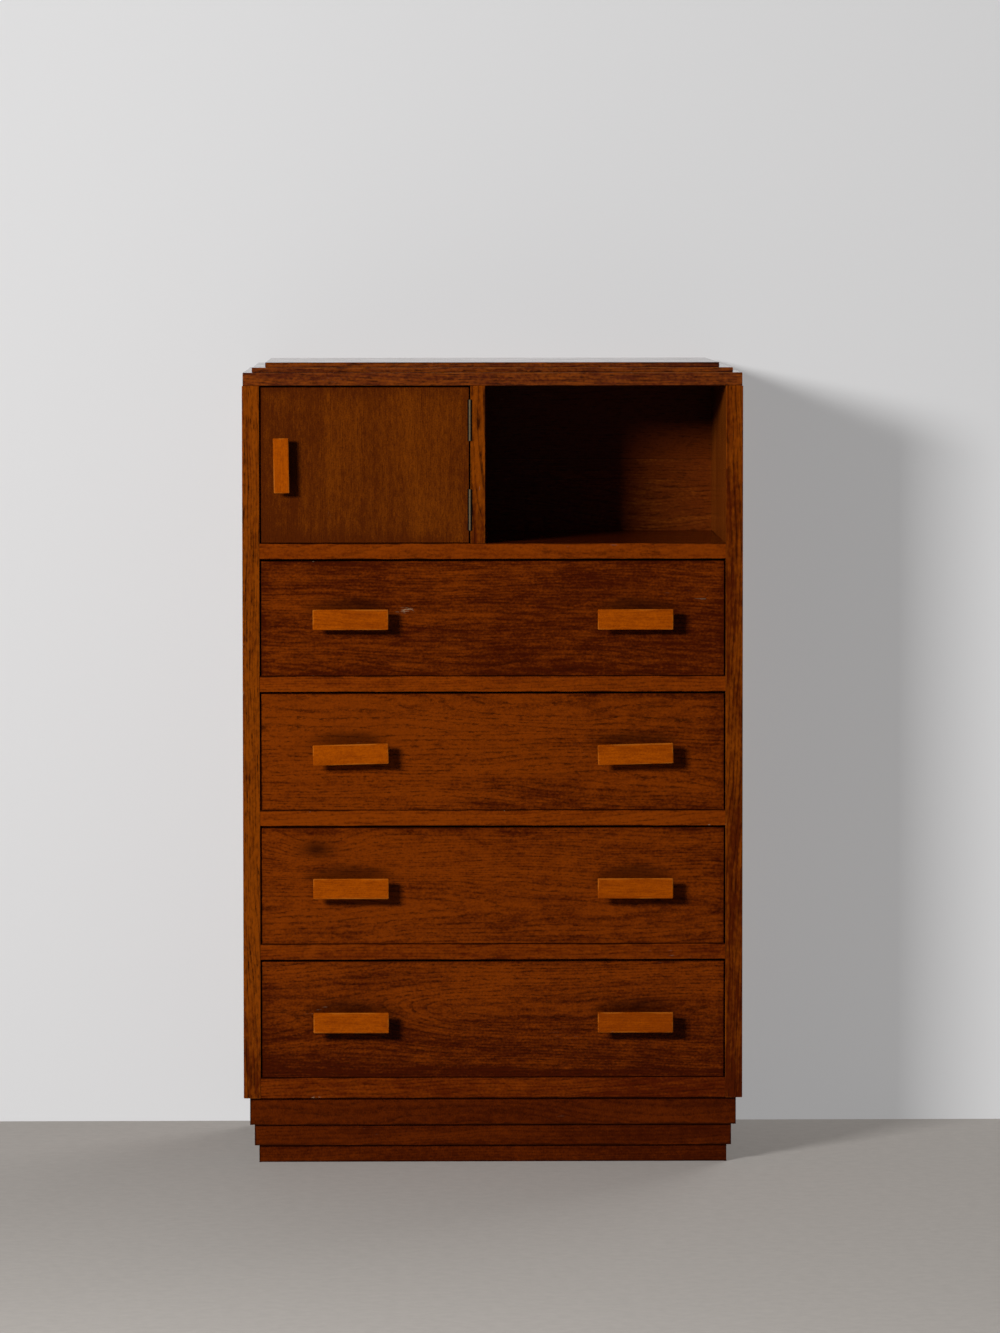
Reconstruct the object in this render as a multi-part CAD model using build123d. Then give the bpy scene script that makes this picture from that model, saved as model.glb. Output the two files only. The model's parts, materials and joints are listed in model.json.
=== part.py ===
from build123d import *
import os

# Floor-standing oak chest: four long drawers under a small cupboard and an open
# pigeon-hole, with a stepped top and a stepped plinth.
# Millimetres. +Z is up, the front faces -Y and +X is to the right of someone facing it.
# The origin is the middle of the foot of the bounding box, pulls included.

# Carcass boards
WIDTH = 610.0
DEPTH = 400.0
SIDE_THICKNESS = 21.0
RAIL_HEIGHT = 19.0
RAIL_DEPTH = 60.0
BOTTOM_RAIL_HEIGHT = 25.0
FLOOR_THICKNESS = 19.0
DIVIDER_THICKNESS = 18.0
DIVIDER_OFFSET = -18.0
CUPBOARD_HEIGHT = 192.0
BACK_THICKNESS = 6.0
BACK_RECESS = 1.0
BACK_LAP = 10.0

# Carcass joints
TENON_LENGTH = 9.0
TENON_SHOULDER = 4.0
HOUSING_DEPTH = 6.0
TONGUE_THICKNESS = 8.0
TONGUE_HEIGHT = 6.0
JOINT_STOP = 12.0

# Stepped top
TOP_BOARD_THICKNESS = 16.0
TOP_BOARD_INSET = 1.0
TOP_STEP_THICKNESS = 6.0
TOP_MIDDLE_SETBACK = 11.0
TOP_UPPER_SETBACK = 16.0

# Stepped plinth, from the carcass down to the ground
PLINTH_UPPER_HEIGHT = 33.5
PLINTH_MIDDLE_HEIGHT = 26.0
PLINTH_LOWER_HEIGHT = 21.5
PLINTH_UPPER_SETBACK = 7.5
PLINTH_MIDDLE_SETBACK = 5.5
PLINTH_LOWER_SETBACK = 5.5
PLINTH_STRIP_WIDTH = 38.0
CORNER_BLOCK_SIZE = 35.0
CORNER_BLOCK_LIFT = 4.0

# Drawers
DRAWER_COUNT = 4
DRAWER_OPENING_HEIGHT = 145.0
TOP_DRAWER_OPENING_HEIGHT = 143.0
DRAWER_RECESS = 0.8
DRAWER_END_GAP = 1.8
DRAWER_HEAD_GAP = 2.5
DRAWER_FOOT_GAP = 0.6
DRAWER_RUNNING_GAP = 0.2
DRAWER_REAR_GAP = 8.0
DRAWER_FRONT_THICKNESS = 19.0
DRAWER_SIDE_THICKNESS = 11.0
DRAWER_BACK_THICKNESS = 10.0
DRAWER_BACK_INSET = 10.0
DRAWER_BACK_DROP = 5.0
DRAWER_BACK_HOUSING = 4.0
DRAWER_BOTTOM_THICKNESS = 4.0
DRAWER_BOTTOM_LIFT = 9.0
DRAWER_GROOVE_DEPTH = 5.0
DOVETAIL_COUNT = 4
DOVETAIL_LAP = 6.0
DOVETAIL_PIN_TIP = 8.0
DOVETAIL_SLOPE = 1 / 6

# Drawer runners and stops
RUNNER_WIDTH = 20.0
STOP_WIDTH = 30.0
STOP_DEPTH = 12.0
STOP_HEADROOM = 4.0
STOP_INSET = 134.0
STOP_GAP = 0.2

# Drawer pulls
PULL_LENGTH = 92.0
PULL_HEIGHT = 25.0
PULL_BAR_THICKNESS = 8.0
PULL_PROJECTION = 31.0
PULL_NECK_LENGTH = 62.0
PULL_NECK_HEIGHT = 13.0
PULL_EDGE_RADIUS = 1.4
PULL_INSET = 109.0
PULL_LIFT = 70.0
PULL_SCREW_SPACING = 38.0
PULL_SCREW_BITE = 18.0

# Door and its pull
DOOR_THICKNESS = 18.0
DOOR_RECESS = 0.8
DOOR_GAP = 2.0
DOOR_FOOT_GAP = 1.0
DOOR_PULL_LENGTH = 67.0
DOOR_PULL_HEIGHT = 19.0
DOOR_PULL_BAR_THICKNESS = 7.0
DOOR_PULL_PROJECTION = 25.0
DOOR_PULL_NECK_LENGTH = 44.0
DOOR_PULL_NECK_HEIGHT = 9.0
DOOR_PULL_EDGE_RADIUS = 1.2
DOOR_PULL_MARGIN = 25.0
DOOR_PULL_SCREW_SPACING = 26.0
DOOR_PULL_SCREW_BITE = 15.0

# Butt hinges
HINGE_LENGTH = 50.0
HINGE_MARGIN = 15.0
HINGE_LEAF_WIDTH = 15.0
HINGE_LEAF_THICKNESS = 1.3
HINGE_AXIS_PROUD = 1.0
KNUCKLE_COUNT = 5
KNUCKLE_RADIUS = 2.3
KNUCKLE_GAP = 0.2
NOTCH_CLEARANCE = 1.0
PIN_RADIUS = 1.2
PIN_CLEARANCE = 0.05
HINGE_SCREW_COUNT = 3
HINGE_SCREW_END = 9.0
HINGE_SCREW_INSET = 9.0
HINGE_SCREW_COVER = 5.0

# Ball catch
CATCH_BARREL_WALL = 0.9
CATCH_BARREL_LENGTH = 16.0
CATCH_BARREL_END = 1.5
BALL_RADIUS = 4.0
BALL_CLEARANCE = 0.1
BALL_ENGAGEMENT = 0.5
SPRING_WIRE_RADIUS = 0.3
SPRING_COIL_RADIUS = 2.6
SPRING_TURNS = 6
SPRING_GAP = 0.02
STRIKE_HEIGHT = 28.0
STRIKE_WIDTH = 11.0
STRIKE_THICKNESS = 1.0
STRIKE_CLEARANCE = 0.3
STRIKE_SCREW_END = 5.0

# Wood screws
SCREW_HEAD_RADIUS = 3.6
SCREW_HEAD_HEIGHT = 2.2
SCREW_SHANK_RADIUS = 1.9
HINGE_SCREW_HEAD_RADIUS = 2.4
HINGE_SCREW_SHANK_RADIUS = 1.3
SCREW_SLOT_WIDTH = 0.8
SCREW_SLOT_DEPTH = 0.6
SCREW_CLEARANCE = 0.05

# Nails of the back panel
NAIL_HEAD_RADIUS = 2.2
NAIL_HEAD_THICKNESS = 0.7
NAIL_SHANK_RADIUS = 0.8
NAIL_BITE = 16.0
NAIL_COLUMNS = 5
NAIL_END = 30.0

# Places that follow from the sizes above
FRONT = (PULL_PROJECTION - DRAWER_RECESS - DEPTH) / 2
BACK = FRONT + DEPTH
BACK_OUTSIDE = BACK - BACK_RECESS
BACK_FACE = BACK_OUTSIDE - BACK_THICKNESS
INNER_HALF = WIDTH / 2 - SIDE_THICKNESS
PLINTH_HEIGHT = PLINTH_UPPER_HEIGHT + PLINTH_MIDDLE_HEIGHT + PLINTH_LOWER_HEIGHT
PLINTH_SETBACK = PLINTH_UPPER_SETBACK + PLINTH_MIDDLE_SETBACK + PLINTH_LOWER_SETBACK


def stack_openings():
    """Foot and head of each drawer opening, the top drawer first."""
    heights = [DRAWER_OPENING_HEIGHT] * (DRAWER_COUNT - 1) + [TOP_DRAWER_OPENING_HEIGHT]
    foot = PLINTH_HEIGHT + BOTTOM_RAIL_HEIGHT
    openings = []
    for height in heights:
        openings.append((foot, foot + height))
        foot += height + RAIL_HEIGHT
    return openings[::-1]


OPENINGS = stack_openings()
FLOOR_FOOT = OPENINGS[0][1]
FLOOR_TOP = FLOOR_FOOT + FLOOR_THICKNESS
TOP_FOOT = FLOOR_TOP + CUPBOARD_HEIGHT
TOP_BOARD_HEAD = TOP_FOOT + TOP_BOARD_THICKNESS

DIVIDER_LEFT = DIVIDER_OFFSET - DIVIDER_THICKNESS / 2
DIVIDER_RIGHT = DIVIDER_OFFSET + DIVIDER_THICKNESS / 2

DRAWER_FACE = FRONT + DRAWER_RECESS
DRAWER_INSIDE = DRAWER_FACE + DRAWER_FRONT_THICKNESS
DRAWER_REAR = BACK_FACE - DRAWER_REAR_GAP
DRAWER_HALF = INNER_HALF - DRAWER_END_GAP
DRAWER_INNER_HALF = DRAWER_HALF - DRAWER_SIDE_THICKNESS
DRAWER_BACK_REAR = DRAWER_REAR - DRAWER_BACK_INSET
DRAWER_BACK_FACE = DRAWER_BACK_REAR - DRAWER_BACK_THICKNESS
PULL_X = DRAWER_HALF - PULL_INSET
STOP_X = INNER_HALF - STOP_INSET
STOP_HEIGHT = DRAWER_RUNNING_GAP + DRAWER_BOTTOM_LIFT - STOP_HEADROOM

DOOR_FACE = FRONT + DOOR_RECESS
DOOR_INSIDE = DOOR_FACE + DOOR_THICKNESS
DOOR_LEFT = -INNER_HALF + DOOR_GAP
DOOR_RIGHT = DIVIDER_LEFT - DOOR_GAP
DOOR_FOOT = FLOOR_TOP + DOOR_FOOT_GAP
DOOR_HEAD = TOP_FOOT - DOOR_GAP
DOOR_MIDDLE = (DOOR_FOOT + DOOR_HEAD) / 2
DOOR_PULL_X = DOOR_LEFT + DOOR_PULL_MARGIN

HINGE_X = DIVIDER_LEFT - DOOR_GAP / 2
HINGE_Y = FRONT - HINGE_AXIS_PROUD
HINGE_FEET = [DOOR_HEAD - HINGE_MARGIN - HINGE_LENGTH, DOOR_FOOT + HINGE_MARGIN]
HINGE_SCREW_PITCH = (HINGE_LENGTH - 2 * HINGE_SCREW_END) / (HINGE_SCREW_COUNT - 1)

CATCH_Y = (DOOR_FACE + DOOR_INSIDE) / 2
BALL_X = -INNER_HALF - BALL_ENGAGEMENT + BALL_RADIUS
CATCH_BORE_RADIUS = BALL_RADIUS + BALL_CLEARANCE
CATCH_BARREL_RADIUS = CATCH_BORE_RADIUS + CATCH_BARREL_WALL
CATCH_END = DOOR_LEFT + CATCH_BARREL_LENGTH - CATCH_BARREL_END


def block(x, y, z):
    """Box between the two ends given along each axis."""
    centre = [(low + high) / 2 for low, high in (x, y, z)]
    size = [high - low for low, high in (x, y, z)]
    return Pos(*centre) * Box(*size)


def post(x, y, radius, foot, head):
    """Upright cylinder."""
    return Pos(x, y, (foot + head) / 2) * Cylinder(radius, head - foot)


def prism(points, plane, height):
    """Straight-sided solid over an outline drawn on a plane."""
    outline = Polyline(*points, close=True)
    return extrude(plane * make_face(outline), height)


def cut(solid, *tools):
    """A solid with the tools taken out of it."""
    for tool in tools:
        solid = solid - tool
    return solid


def mirrored(solid):
    """The same piece for the other side of the chest."""
    return mirror(solid, about=Plane.YZ)


def screw_body(head_radius, shank_radius, length, clearance=0.0):
    """Countersunk screw driven along +Z, its head's top at the origin."""
    head = Cone(
        head_radius + clearance,
        shank_radius + clearance,
        SCREW_HEAD_HEIGHT,
        align=(Align.CENTER, Align.CENTER, Align.MIN),
    )
    shank = Cylinder(
        shank_radius + clearance,
        length + clearance,
        align=(Align.CENTER, Align.CENTER, Align.MIN),
    )
    return head + shank


def screw(place, head_radius, shank_radius, length):
    """Slotted wood screw at a place whose +Z is the way it is driven."""
    slot = Pos(0, 0, SCREW_SLOT_DEPTH / 2) * Box(2 * head_radius, SCREW_SLOT_WIDTH, SCREW_SLOT_DEPTH)
    return place * (screw_body(head_radius, shank_radius, length) - slot)


def screw_hole(place, head_radius, shank_radius, length):
    """Countersunk hole that clears a screw at the same place."""
    return place * screw_body(head_radius, shank_radius, length, SCREW_CLEARANCE)


# Carcass


def rail(foot, height):
    """Front rail with a stub tenon at each end."""
    head = foot + height
    bar = block((-INNER_HALF, INNER_HALF), (FRONT, FRONT + RAIL_DEPTH), (foot, head))
    tenon_half = INNER_HALF + TENON_LENGTH
    tenon = block(
        (-tenon_half, tenon_half),
        (FRONT + JOINT_STOP, FRONT + RAIL_DEPTH),
        (foot + TENON_SHOULDER, head - TENON_SHOULDER),
    )
    return bar + tenon


def runner(foot, height):
    """Left runner behind a rail, as tall as that rail and housed in the side panel."""
    return block(
        (-INNER_HALF - HOUSING_DEPTH, -INNER_HALF + RUNNER_WIDTH),
        (FRONT + RAIL_DEPTH, BACK_FACE),
        (foot, foot + height),
    )


def stops(foot):
    """Two blocks on a rail, behind the drawer front that closes against them."""
    near = DRAWER_INSIDE + STOP_GAP
    return [
        block(
            (x - STOP_WIDTH / 2, x + STOP_WIDTH / 2),
            (near, near + STOP_DEPTH),
            (foot, foot + STOP_HEIGHT),
        )
        for x in (-STOP_X, STOP_X)
    ]


def floor_blank():
    """Floor of the cupboard and the pigeon-hole, housed in the side panels behind its front edge."""
    board = block((-INNER_HALF, INNER_HALF), (FRONT, BACK_FACE), (FLOOR_FOOT, FLOOR_TOP))
    housed_half = INNER_HALF + HOUSING_DEPTH
    housed = block((-housed_half, housed_half), (FRONT + JOINT_STOP, BACK_FACE), (FLOOR_FOOT, FLOOR_TOP))
    return board + housed


def divider_blank():
    """Upright between the cupboard and the pigeon-hole, tongued into the floor and the top."""
    board = block((DIVIDER_LEFT, DIVIDER_RIGHT), (FRONT, BACK_FACE), (FLOOR_TOP, TOP_FOOT))
    tongue = block(
        (DIVIDER_OFFSET - TONGUE_THICKNESS / 2, DIVIDER_OFFSET + TONGUE_THICKNESS / 2),
        (FRONT + JOINT_STOP, BACK_FACE),
        (FLOOR_TOP - TONGUE_HEIGHT, TOP_FOOT + TONGUE_HEIGHT),
    )
    return board + tongue


def side_blank():
    """Left side panel with a tongue along its top."""
    outer = -WIDTH / 2
    middle = outer + SIDE_THICKNESS / 2
    panel = block((outer, -INNER_HALF), (FRONT, BACK), (PLINTH_HEIGHT, TOP_FOOT))
    tongue = block(
        (middle - TONGUE_THICKNESS / 2, middle + TONGUE_THICKNESS / 2),
        (FRONT + JOINT_STOP, BACK_FACE),
        (TOP_FOOT, TOP_FOOT + TONGUE_HEIGHT),
    )
    return panel + tongue


def back_space(far):
    """Room between the side panels' rebates, from the inner face of the back to a plane behind it."""
    half = INNER_HALF + BACK_LAP
    return block((-half, half), (BACK_FACE, far), (PLINTH_HEIGHT, TOP_FOOT))


def nail_places():
    """Places of the nails that hold the back: two beside each opening and a row along the compartment floor."""
    edge = INNER_HALF + BACK_LAP / 2
    spaces = [*OPENINGS, (FLOOR_TOP, TOP_FOOT)]
    heights = [z for foot, head in spaces for z in (foot + NAIL_END, head - NAIL_END)]
    spots = [(x, z) for x in (-edge, edge) for z in heights]
    spacing = 2 * INNER_HALF / (NAIL_COLUMNS + 1)
    middle = FLOOR_FOOT + FLOOR_THICKNESS / 2
    spots += [(-INNER_HALF + (n + 1) * spacing, middle) for n in range(NAIL_COLUMNS)]
    return [
        Plane(origin=(x, BACK_OUTSIDE, z), x_dir=(1, 0, 0), z_dir=(0, -1, 0)).location
        for x, z in spots
    ]


def nail(place, clearance=0.0):
    """Flat-headed nail at a place whose +Z is the way it is driven, its head standing on the panel."""
    head = Cylinder(NAIL_HEAD_RADIUS, NAIL_HEAD_THICKNESS, align=(Align.CENTER, Align.CENTER, Align.MAX))
    shank = Cylinder(
        NAIL_SHANK_RADIUS + clearance,
        BACK_THICKNESS + NAIL_BITE + clearance,
        align=(Align.CENTER, Align.CENTER, Align.MIN),
    )
    return place * (head + shank)


def top_tier(setback, foot, thickness):
    """One board of the stepped top, set back from the sides and the front."""
    half = WIDTH / 2 - TOP_BOARD_INSET - setback
    return block((-half, half), (FRONT + setback, BACK), (foot, foot + thickness))


def plinth_tier(setback, foot, height):
    """Front and side strips mitred at the front corners, and a back strip between the sides."""
    half = WIDTH / 2 - setback
    near = FRONT + setback
    inner_half = WIDTH / 2 - PLINTH_SETBACK - PLINTH_STRIP_WIDTH
    inner_near = FRONT + PLINTH_SETBACK + PLINTH_STRIP_WIDTH
    plane = Plane.XY.offset(foot)
    front = [(-half, near), (half, near), (inner_half, inner_near), (-inner_half, inner_near)]
    left = [(-half, near), (-inner_half, inner_near), (-inner_half, BACK), (-half, BACK)]
    left_strip = prism(left, plane, height)
    back_strip = block(
        (-inner_half, inner_half), (BACK - PLINTH_STRIP_WIDTH, BACK), (foot, foot + height)
    )
    return [prism(front, plane, height), left_strip, mirrored(left_strip), back_strip]


def corner_blocks():
    """Glue blocks in the four inner corners of the plinth."""
    inner_half = WIDTH / 2 - PLINTH_SETBACK - PLINTH_STRIP_WIDTH
    inner_near = FRONT + PLINTH_SETBACK + PLINTH_STRIP_WIDTH
    inner_far = BACK - PLINTH_STRIP_WIDTH
    near = block(
        (-inner_half, -inner_half + CORNER_BLOCK_SIZE),
        (inner_near, inner_near + CORNER_BLOCK_SIZE),
        (CORNER_BLOCK_LIFT, PLINTH_HEIGHT),
    )
    far = block(
        (-inner_half, -inner_half + CORNER_BLOCK_SIZE),
        (inner_far - CORNER_BLOCK_SIZE, inner_far),
        (CORNER_BLOCK_LIFT, PLINTH_HEIGHT),
    )
    return [near, mirrored(near), far, mirrored(far)]


# Pulls


def pull(length, height, bar_thickness, projection, neck_length, neck_height, edge_radius):
    """Flat bar on a narrower neck, lying along X, its seat on the plane y = 0 and its face at -Y."""
    neck_depth = projection - bar_thickness
    bar = block((-length / 2, length / 2), (-projection, -neck_depth), (-height / 2, height / 2))
    bar = fillet(bar.edges(), edge_radius)
    neck = block(
        (-neck_length / 2, neck_length / 2), (-neck_depth, 0), (-neck_height / 2, neck_height / 2)
    )
    return bar + neck


def pull_screw_places(centre, along, spacing, inside):
    """Places of a pull's two screws, on the inner face of the board that carries it."""
    return [
        Plane(
            origin=Vector(centre.X, inside, centre.Z) + along * offset,
            x_dir=(1, 0, 0),
            z_dir=(0, -1, 0),
        ).location
        for offset in (-spacing / 2, spacing / 2)
    ]


# Drawers


def drawer_side(foot, head):
    """Left side board, its front end cut into tails."""
    pitch = (head - foot) / DOVETAIL_COUNT
    tail_length = DRAWER_FRONT_THICKNESS - DOVETAIL_LAP
    tip = DRAWER_INSIDE - tail_length
    tip_half = (pitch - DOVETAIL_PIN_TIP) / 2
    root_half = tip_half - DOVETAIL_SLOPE * tail_length
    outline = [(DRAWER_REAR, foot), (DRAWER_INSIDE, foot)]
    for tail in range(DOVETAIL_COUNT):
        middle = foot + (tail + 0.5) * pitch
        outline += [
            (DRAWER_INSIDE, middle - root_half),
            (tip, middle - tip_half),
            (tip, middle + tip_half),
            (DRAWER_INSIDE, middle + root_half),
        ]
    outline += [(DRAWER_INSIDE, head), (DRAWER_REAR, head)]
    return prism(outline, Plane.YZ.offset(-DRAWER_HALF), DRAWER_SIDE_THICKNESS)


def drawer(opening):
    """The boards, pulls and pull screws of the drawer that fills an opening."""
    foot, head = opening[0] + DRAWER_RUNNING_GAP, opening[1] - DRAWER_HEAD_GAP
    front_foot = opening[0] + DRAWER_FOOT_GAP
    panel_foot = foot + DRAWER_BOTTOM_LIFT
    panel_top = panel_foot + DRAWER_BOTTOM_THICKNESS

    panel_half = DRAWER_INNER_HALF + DRAWER_GROOVE_DEPTH
    bottom = block(
        (-panel_half, panel_half),
        (DRAWER_INSIDE - DRAWER_GROOVE_DEPTH, DRAWER_BACK_REAR),
        (panel_foot, panel_top),
    )
    back_half = DRAWER_INNER_HALF + DRAWER_BACK_HOUSING
    back = block(
        (-back_half, back_half),
        (DRAWER_BACK_FACE, DRAWER_BACK_REAR),
        (panel_top, head - DRAWER_BACK_DROP),
    )
    side_left = cut(drawer_side(foot, head), bottom, back)
    side_right = mirrored(side_left)
    front = block((-DRAWER_HALF, DRAWER_HALF), (DRAWER_FACE, DRAWER_INSIDE), (front_foot, head))
    front = cut(front, side_left, side_right, bottom)

    nodes = {"side_left": side_left, "side_right": side_right, "back": back, "bottom": bottom}
    screws = []
    screw_sizes = (SCREW_HEAD_RADIUS, SCREW_SHANK_RADIUS, DRAWER_FRONT_THICKNESS + PULL_SCREW_BITE)
    for hand, x in (("left", -PULL_X), ("right", PULL_X)):
        seat = Vector(x, DRAWER_FACE, front_foot + PULL_LIFT)
        handle = Pos(seat) * pull(
            PULL_LENGTH, PULL_HEIGHT, PULL_BAR_THICKNESS, PULL_PROJECTION,
            PULL_NECK_LENGTH, PULL_NECK_HEIGHT, PULL_EDGE_RADIUS,
        )
        places = pull_screw_places(seat, Vector(1, 0, 0), PULL_SCREW_SPACING, DRAWER_INSIDE)
        holes = [screw_hole(place, *screw_sizes) for place in places]
        screws += [screw(place, *screw_sizes) for place in places]
        front = cut(front, *holes)
        nodes["pull_" + hand] = cut(handle, *holes)
    nodes["front"] = front
    nodes["pull_screws"] = screws
    return nodes


# Hinges


def knuckle_spans(foot):
    """Foot and head of each knuckle, from the bottom up."""
    pitch = (HINGE_LENGTH + KNUCKLE_GAP) / KNUCKLE_COUNT
    return [
        (foot + n * pitch, foot + (n + 1) * pitch - KNUCKLE_GAP) for n in range(KNUCKLE_COUNT)
    ]


def hinge_screw_places(foot, hand):
    """Places of one leaf's screws. Hand is -1 for the door's leaf and 1 for the divider's."""
    first = foot + HINGE_SCREW_END
    return [
        Plane(
            origin=(
                HINGE_X + hand * DOOR_GAP / 2,
                HINGE_Y + HINGE_SCREW_INSET,
                first + n * HINGE_SCREW_PITCH,
            ),
            x_dir=(0, 1, 0),
            z_dir=(hand, 0, 0),
        ).location
        for n in range(HINGE_SCREW_COUNT)
    ]


HINGE_SCREW_SIZES = (
    HINGE_SCREW_HEAD_RADIUS,
    HINGE_SCREW_SHANK_RADIUS,
    DIVIDER_THICKNESS - HINGE_SCREW_COVER,
)


def hinge_plate(foot, hand):
    """Flat part of a leaf, flush with the board it is let into."""
    near_x = HINGE_X + hand * DOOR_GAP / 2
    far_x = near_x + hand * HINGE_LEAF_THICKNESS
    return block(
        (min(near_x, far_x), max(near_x, far_x)),
        (HINGE_Y, HINGE_Y + HINGE_LEAF_WIDTH),
        (foot, foot + HINGE_LENGTH),
    )


def hinge_leaf(foot, hand):
    """One leaf with its own knuckles, cut back round the other leaf's."""
    spans = knuckle_spans(foot)
    own, other = (spans[1::2], spans[0::2]) if hand < 0 else (spans[0::2], spans[1::2])
    leaf = hinge_plate(foot, hand)
    for low, high in own:
        leaf += post(HINGE_X, HINGE_Y, KNUCKLE_RADIUS, low, high)
    bore = post(HINGE_X, HINGE_Y, PIN_RADIUS + PIN_CLEARANCE, foot, foot + HINGE_LENGTH)
    room = [
        post(HINGE_X, HINGE_Y, KNUCKLE_RADIUS + KNUCKLE_GAP, low - KNUCKLE_GAP, high + KNUCKLE_GAP)
        for low, high in other
    ]
    holes = [screw_hole(place, *HINGE_SCREW_SIZES) for place in hinge_screw_places(foot, hand)]
    return cut(leaf, bore, *room, *holes)


def hinge_seat(foot, hand):
    """What is cut from the door or the divider for one leaf, its screws and the knuckles."""
    notch = post(
        HINGE_X, HINGE_Y, KNUCKLE_RADIUS + NOTCH_CLEARANCE,
        foot - KNUCKLE_GAP, foot + HINGE_LENGTH + KNUCKLE_GAP,
    )
    holes = [screw_hole(place, *HINGE_SCREW_SIZES) for place in hinge_screw_places(foot, hand)]
    return [notch, hinge_plate(foot, hand), *holes]


def hinge_screws(hand):
    return [
        screw(place, *HINGE_SCREW_SIZES)
        for foot in HINGE_FEET
        for place in hinge_screw_places(foot, hand)
    ]


# Ball catch


def along_x(x, radius, length):
    """Cylinder on the catch's axis that starts at x and runs towards +X."""
    return Pos(x + length / 2, CATCH_Y, DOOR_MIDDLE) * Rot(0, 90, 0) * Cylinder(radius, length)


def catch_barrel():
    """Brass tube in the door's free edge, closed at its inner end, with a lip that keeps the ball in."""
    bore = along_x(BALL_X, CATCH_BORE_RADIUS, CATCH_END - BALL_X)
    mouth = Pos(BALL_X, CATCH_Y, DOOR_MIDDLE) * Sphere(CATCH_BORE_RADIUS)
    return cut(along_x(DOOR_LEFT, CATCH_BARREL_RADIUS, CATCH_BARREL_LENGTH), bore, mouth)


def catch_spring():
    """Coil between the ball and the closed end of the barrel."""
    reach = BALL_RADIUS + SPRING_WIRE_RADIUS
    near = BALL_X + (reach**2 - SPRING_COIL_RADIUS**2) ** 0.5 + SPRING_GAP
    length = CATCH_END - SPRING_WIRE_RADIUS - SPRING_GAP - near
    path = Helix(length / SPRING_TURNS, length, SPRING_COIL_RADIUS)
    section = Plane(origin=path @ 0, z_dir=path % 0) * Circle(SPRING_WIRE_RADIUS)
    return Pos(near, CATCH_Y, DOOR_MIDDLE) * Rot(0, 90, 0) * sweep(section, path=path, is_frenet=True)


def catch_dimple():
    """Round hole that the ball drops into, a little wider than the ball is where it enters."""
    entry = (BALL_RADIUS**2 - (BALL_RADIUS - BALL_ENGAGEMENT) ** 2) ** 0.5
    return along_x(-INNER_HALF - STRIKE_THICKNESS, entry + STRIKE_CLEARANCE, STRIKE_THICKNESS)


def strike_screw_places():
    """Places of the strike plate's two screws, above and below the dimple."""
    reach = STRIKE_HEIGHT / 2 - STRIKE_SCREW_END
    return [
        Plane(
            origin=(-INNER_HALF, CATCH_Y, DOOR_MIDDLE + offset), x_dir=(0, 1, 0), z_dir=(-1, 0, 0)
        ).location
        for offset in (-reach, reach)
    ]


def strike_blank():
    """Strike plate let flush into the left side panel."""
    return block(
        (-INNER_HALF - STRIKE_THICKNESS, -INNER_HALF),
        (CATCH_Y - STRIKE_WIDTH / 2, CATCH_Y + STRIKE_WIDTH / 2),
        (DOOR_MIDDLE - STRIKE_HEIGHT / 2, DOOR_MIDDLE + STRIKE_HEIGHT / 2),
    )


# Door


def door():
    """The door panel, its pull, its hinge leaves, its catch barrel and spring, and its screws."""
    seat = Vector(DOOR_PULL_X, DOOR_FACE, DOOR_MIDDLE)
    lying = pull(
        DOOR_PULL_LENGTH, DOOR_PULL_HEIGHT, DOOR_PULL_BAR_THICKNESS, DOOR_PULL_PROJECTION,
        DOOR_PULL_NECK_LENGTH, DOOR_PULL_NECK_HEIGHT, DOOR_PULL_EDGE_RADIUS,
    )
    handle = Pos(seat) * Rot(0, 90, 0) * lying
    places = pull_screw_places(seat, Vector(0, 0, 1), DOOR_PULL_SCREW_SPACING, DOOR_INSIDE)
    sizes = (SCREW_HEAD_RADIUS, SCREW_SHANK_RADIUS, DOOR_THICKNESS + DOOR_PULL_SCREW_BITE)
    holes = [screw_hole(place, *sizes) for place in places]
    panel = block((DOOR_LEFT, DOOR_RIGHT), (DOOR_FACE, DOOR_INSIDE), (DOOR_FOOT, DOOR_HEAD))
    panel = cut(panel, *holes, along_x(DOOR_LEFT, CATCH_BARREL_RADIUS, CATCH_BARREL_LENGTH))
    for foot in HINGE_FEET:
        panel = cut(panel, *hinge_seat(foot, -1))
    return {
        "door_panel": panel,
        "door_pull": cut(handle, *holes),
        "door_screws": [screw(place, *sizes) for place in places] + hinge_screws(-1),
        "hinge_door_leaves": [hinge_leaf(foot, -1) for foot in HINGE_FEET],
        "catch_barrel": catch_barrel(),
        "catch_spring": catch_spring(),
    }


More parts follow.
